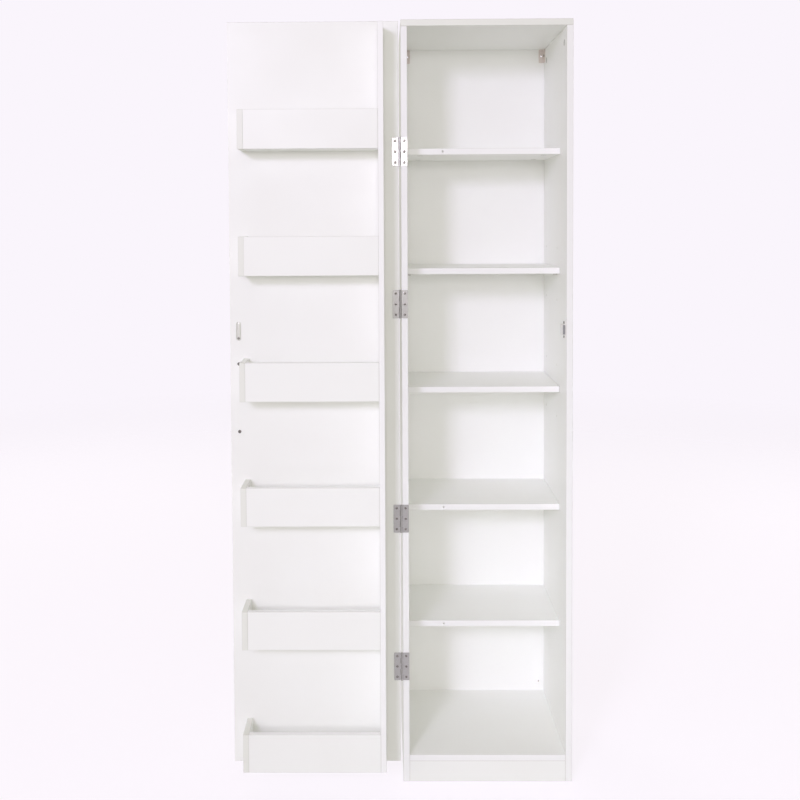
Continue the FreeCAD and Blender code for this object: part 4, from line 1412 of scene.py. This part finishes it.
@dataclass
class Studio:
    """The pale floor, the soft light and the camera."""

    backdrop: str = "#faf5fc"
    ambient: str = "#fffbf1"
    ambient_strength: float = 0.44
    floor_radii: tuple[float, ...] = (0.5, 1.5, 3.0, 6.0)
    floor_points: int = 96
    lens: float = 44.9
    sensor: tuple[float, float] = (23.0, 36.0)
    shift: tuple[float, float] = (0.03, -0.1725)
    eye: tuple[float, float, float] = (-0.0371, -2.4545, 1.3289)
    yaw: float = 0.0091
    pitch: float = -0.0387
    roll: float = 0.0052

    def disc(self, name: str, finish: Finish, height: float) -> bpy.types.Object:
        """A round level sheet under the cabinet.

        Args:
            name: The sheet's name.
            finish: What it is finished in.
            height: How high it lies.

        Returns:
            The sheet.
        """
        mesh = bmesh.new()
        count = self.floor_points
        centre = mesh.verts.new((0.0, 0.0, 0.0))
        loops = [
            [mesh.verts.new(point) for point in circle(radius, 0.0, count)]
            for radius in self.floor_radii
        ]
        for index in range(count):
            after = (index + 1) % count
            mesh.faces.new((centre, loops[0][index], loops[0][after]))
            for inner, outer in zip(loops, loops[1:]):
                mesh.faces.new((inner[index], outer[index], outer[after], inner[after]))
        data = bpy.data.meshes.new(name)
        mesh.to_mesh(data)
        mesh.free()
        data.materials.append(finish.material())
        sheet = bpy.data.objects.new(name, data)
        bpy.context.scene.collection.objects.link(sheet)
        sheet.location.z = height
        return sheet

    def floor(self) -> None:
        """The floor that shows, and under it the dimmer sheet whose light reaches the cabinet."""
        shown = self.disc("floor", FLOOR_PAPER, CAD_BOX[0].z)
        shown.visible_diffuse = False
        bounce = self.disc("bounce_sheet", BOUNCE_PAPER, CAD_BOX[0].z - 1 * MM)
        bounce.visible_camera = False
        bounce.visible_glossy = False

    def surroundings(self) -> None:
        """Even light from all around, and a plain backdrop."""
        world = bpy.data.worlds.new("studio")
        world.use_nodes = True
        tree = world.node_tree
        tree.nodes.clear()
        light = add_node(
            tree, "ShaderNodeBackground",
            {"Color": linear(self.ambient), "Strength": self.ambient_strength},
        )
        plain = add_node(tree, "ShaderNodeBackground", {"Color": linear(self.backdrop)})
        rays = add_node(tree, "ShaderNodeLightPath")
        both = add_node(
            tree, "ShaderNodeMixShader",
            links={0: rays.outputs["Is Camera Ray"], 1: light.outputs[0], 2: plain.outputs[0]},
        )
        add_node(tree, "ShaderNodeOutputWorld", links={"Surface": both.outputs[0]})
        bpy.context.scene.world = world

    def camera(self) -> None:
        """The camera, as high as a standing person's chest and almost level."""
        data = bpy.data.cameras.new("camera")
        data.sensor_fit = "VERTICAL"
        data.sensor_width, data.sensor_height = self.sensor
        data.lens = self.lens
        data.shift_x, data.shift_y = self.shift
        camera = bpy.data.objects.new("camera", data)
        bpy.context.scene.collection.objects.link(camera)
        turn = Matrix.Rotation(self.yaw, 4, "Z") @ Matrix.Rotation(self.pitch, 4, "X")
        turn = turn @ Matrix.Rotation(self.roll, 4, "Y") @ Matrix.Rotation(math.pi / 2, 4, "X")
        camera.matrix_world = Matrix.Translation(self.eye) @ turn
        bpy.context.scene.camera = camera

    def build(self) -> None:
        """Set up the studio."""
        self.floor()
        self.surroundings()
        for lamp in (
            Lamp("key_window", (-1.71, -4.75, 2.6), (0.0, -0.1, 1.0), 0.68, 0.68, 74, "#e6deff"),
            Lamp("front_softbox", (0.1, -6.5, 1.95), (0.0, 0.0, 1.0), 1.3, 0.7, 50, "#fffaff"),
            Lamp("high_softbox", (0.0, -6.0, 3.6), (0.0, 0.0, 1.0), 3.0, 1.2, 12, "#fffaf6"),
            Lamp("left_softbox", (-4.0, -3.2, 1.6), (0.0, 0.0, 0.7), 1.6, 1.2, 21, "#fffafa"),
            Lamp("top_softbox", (0.0, -1.8, 4.0), (0.0, 0.0, 1.0), 2.5, 1.0, 4, "#fffdf6"),
            Lamp(
                "low_gridded_softbox", (-1.3, -3.3, 1.5), (0.8, 0.0, 0.12), 0.9, 0.9, 1.15, "#f0f4ff",
                beam=math.radians(36),
            ),
            Lamp("rear_left_softbox", (-2.4, 3.4, 2.4), (0.0, 0.0, 0.9), 1.5, 2.0, 26, "#fffdfa"),
            Lamp("rear_right_softbox", (3.0, 2.6, 2.2), (0.2, 0.0, 0.9), 1.5, 2.0, 26, "#fffdfa"),
        ):
            lamp.build()
        self.camera()
        view = bpy.context.scene.view_settings
        view.view_transform = "Standard"
        view.look = "None"
        bpy.context.scene.cycles.diffuse_bounces = 8


# ---------------------------------------------------------------- main


def main() -> None:
    """Build the looks in order: boards, hardware, then the studio."""
    logging.basicConfig(level=logging.INFO, format="%(message)s")
    boards = Boards()
    boards.build()
    Fastenings(
        hinge_screw=Screw(6.0 * MM, 1.2 * MM, 3.0 * MM, 14 * MM, dome=0.28 * MM),
        strike_screw=Screw(5.5 * MM, 1.0 * MM, 2.8 * MM, 12 * MM, dome=0.1 * MM),
        small_screw=Screw(6.5 * MM, 1.8 * MM, 3.0 * MM, 12 * MM, countersunk=False),
        handle_screw=Screw(
            8.0 * MM, 2.0 * MM, 4.0 * MM, 25 * MM, pitch=0.9 * MM, countersunk=False,
            recess_reach=1.9 * MM, recess_half_width=0.5 * MM, recess_depth=1.4 * MM,
        ),
    ).build()
    Hinges().build()
    Fittings().build(boards)
    Closing().build(boards)
    Studio().build()


if __name__ == "__main__":
    main()
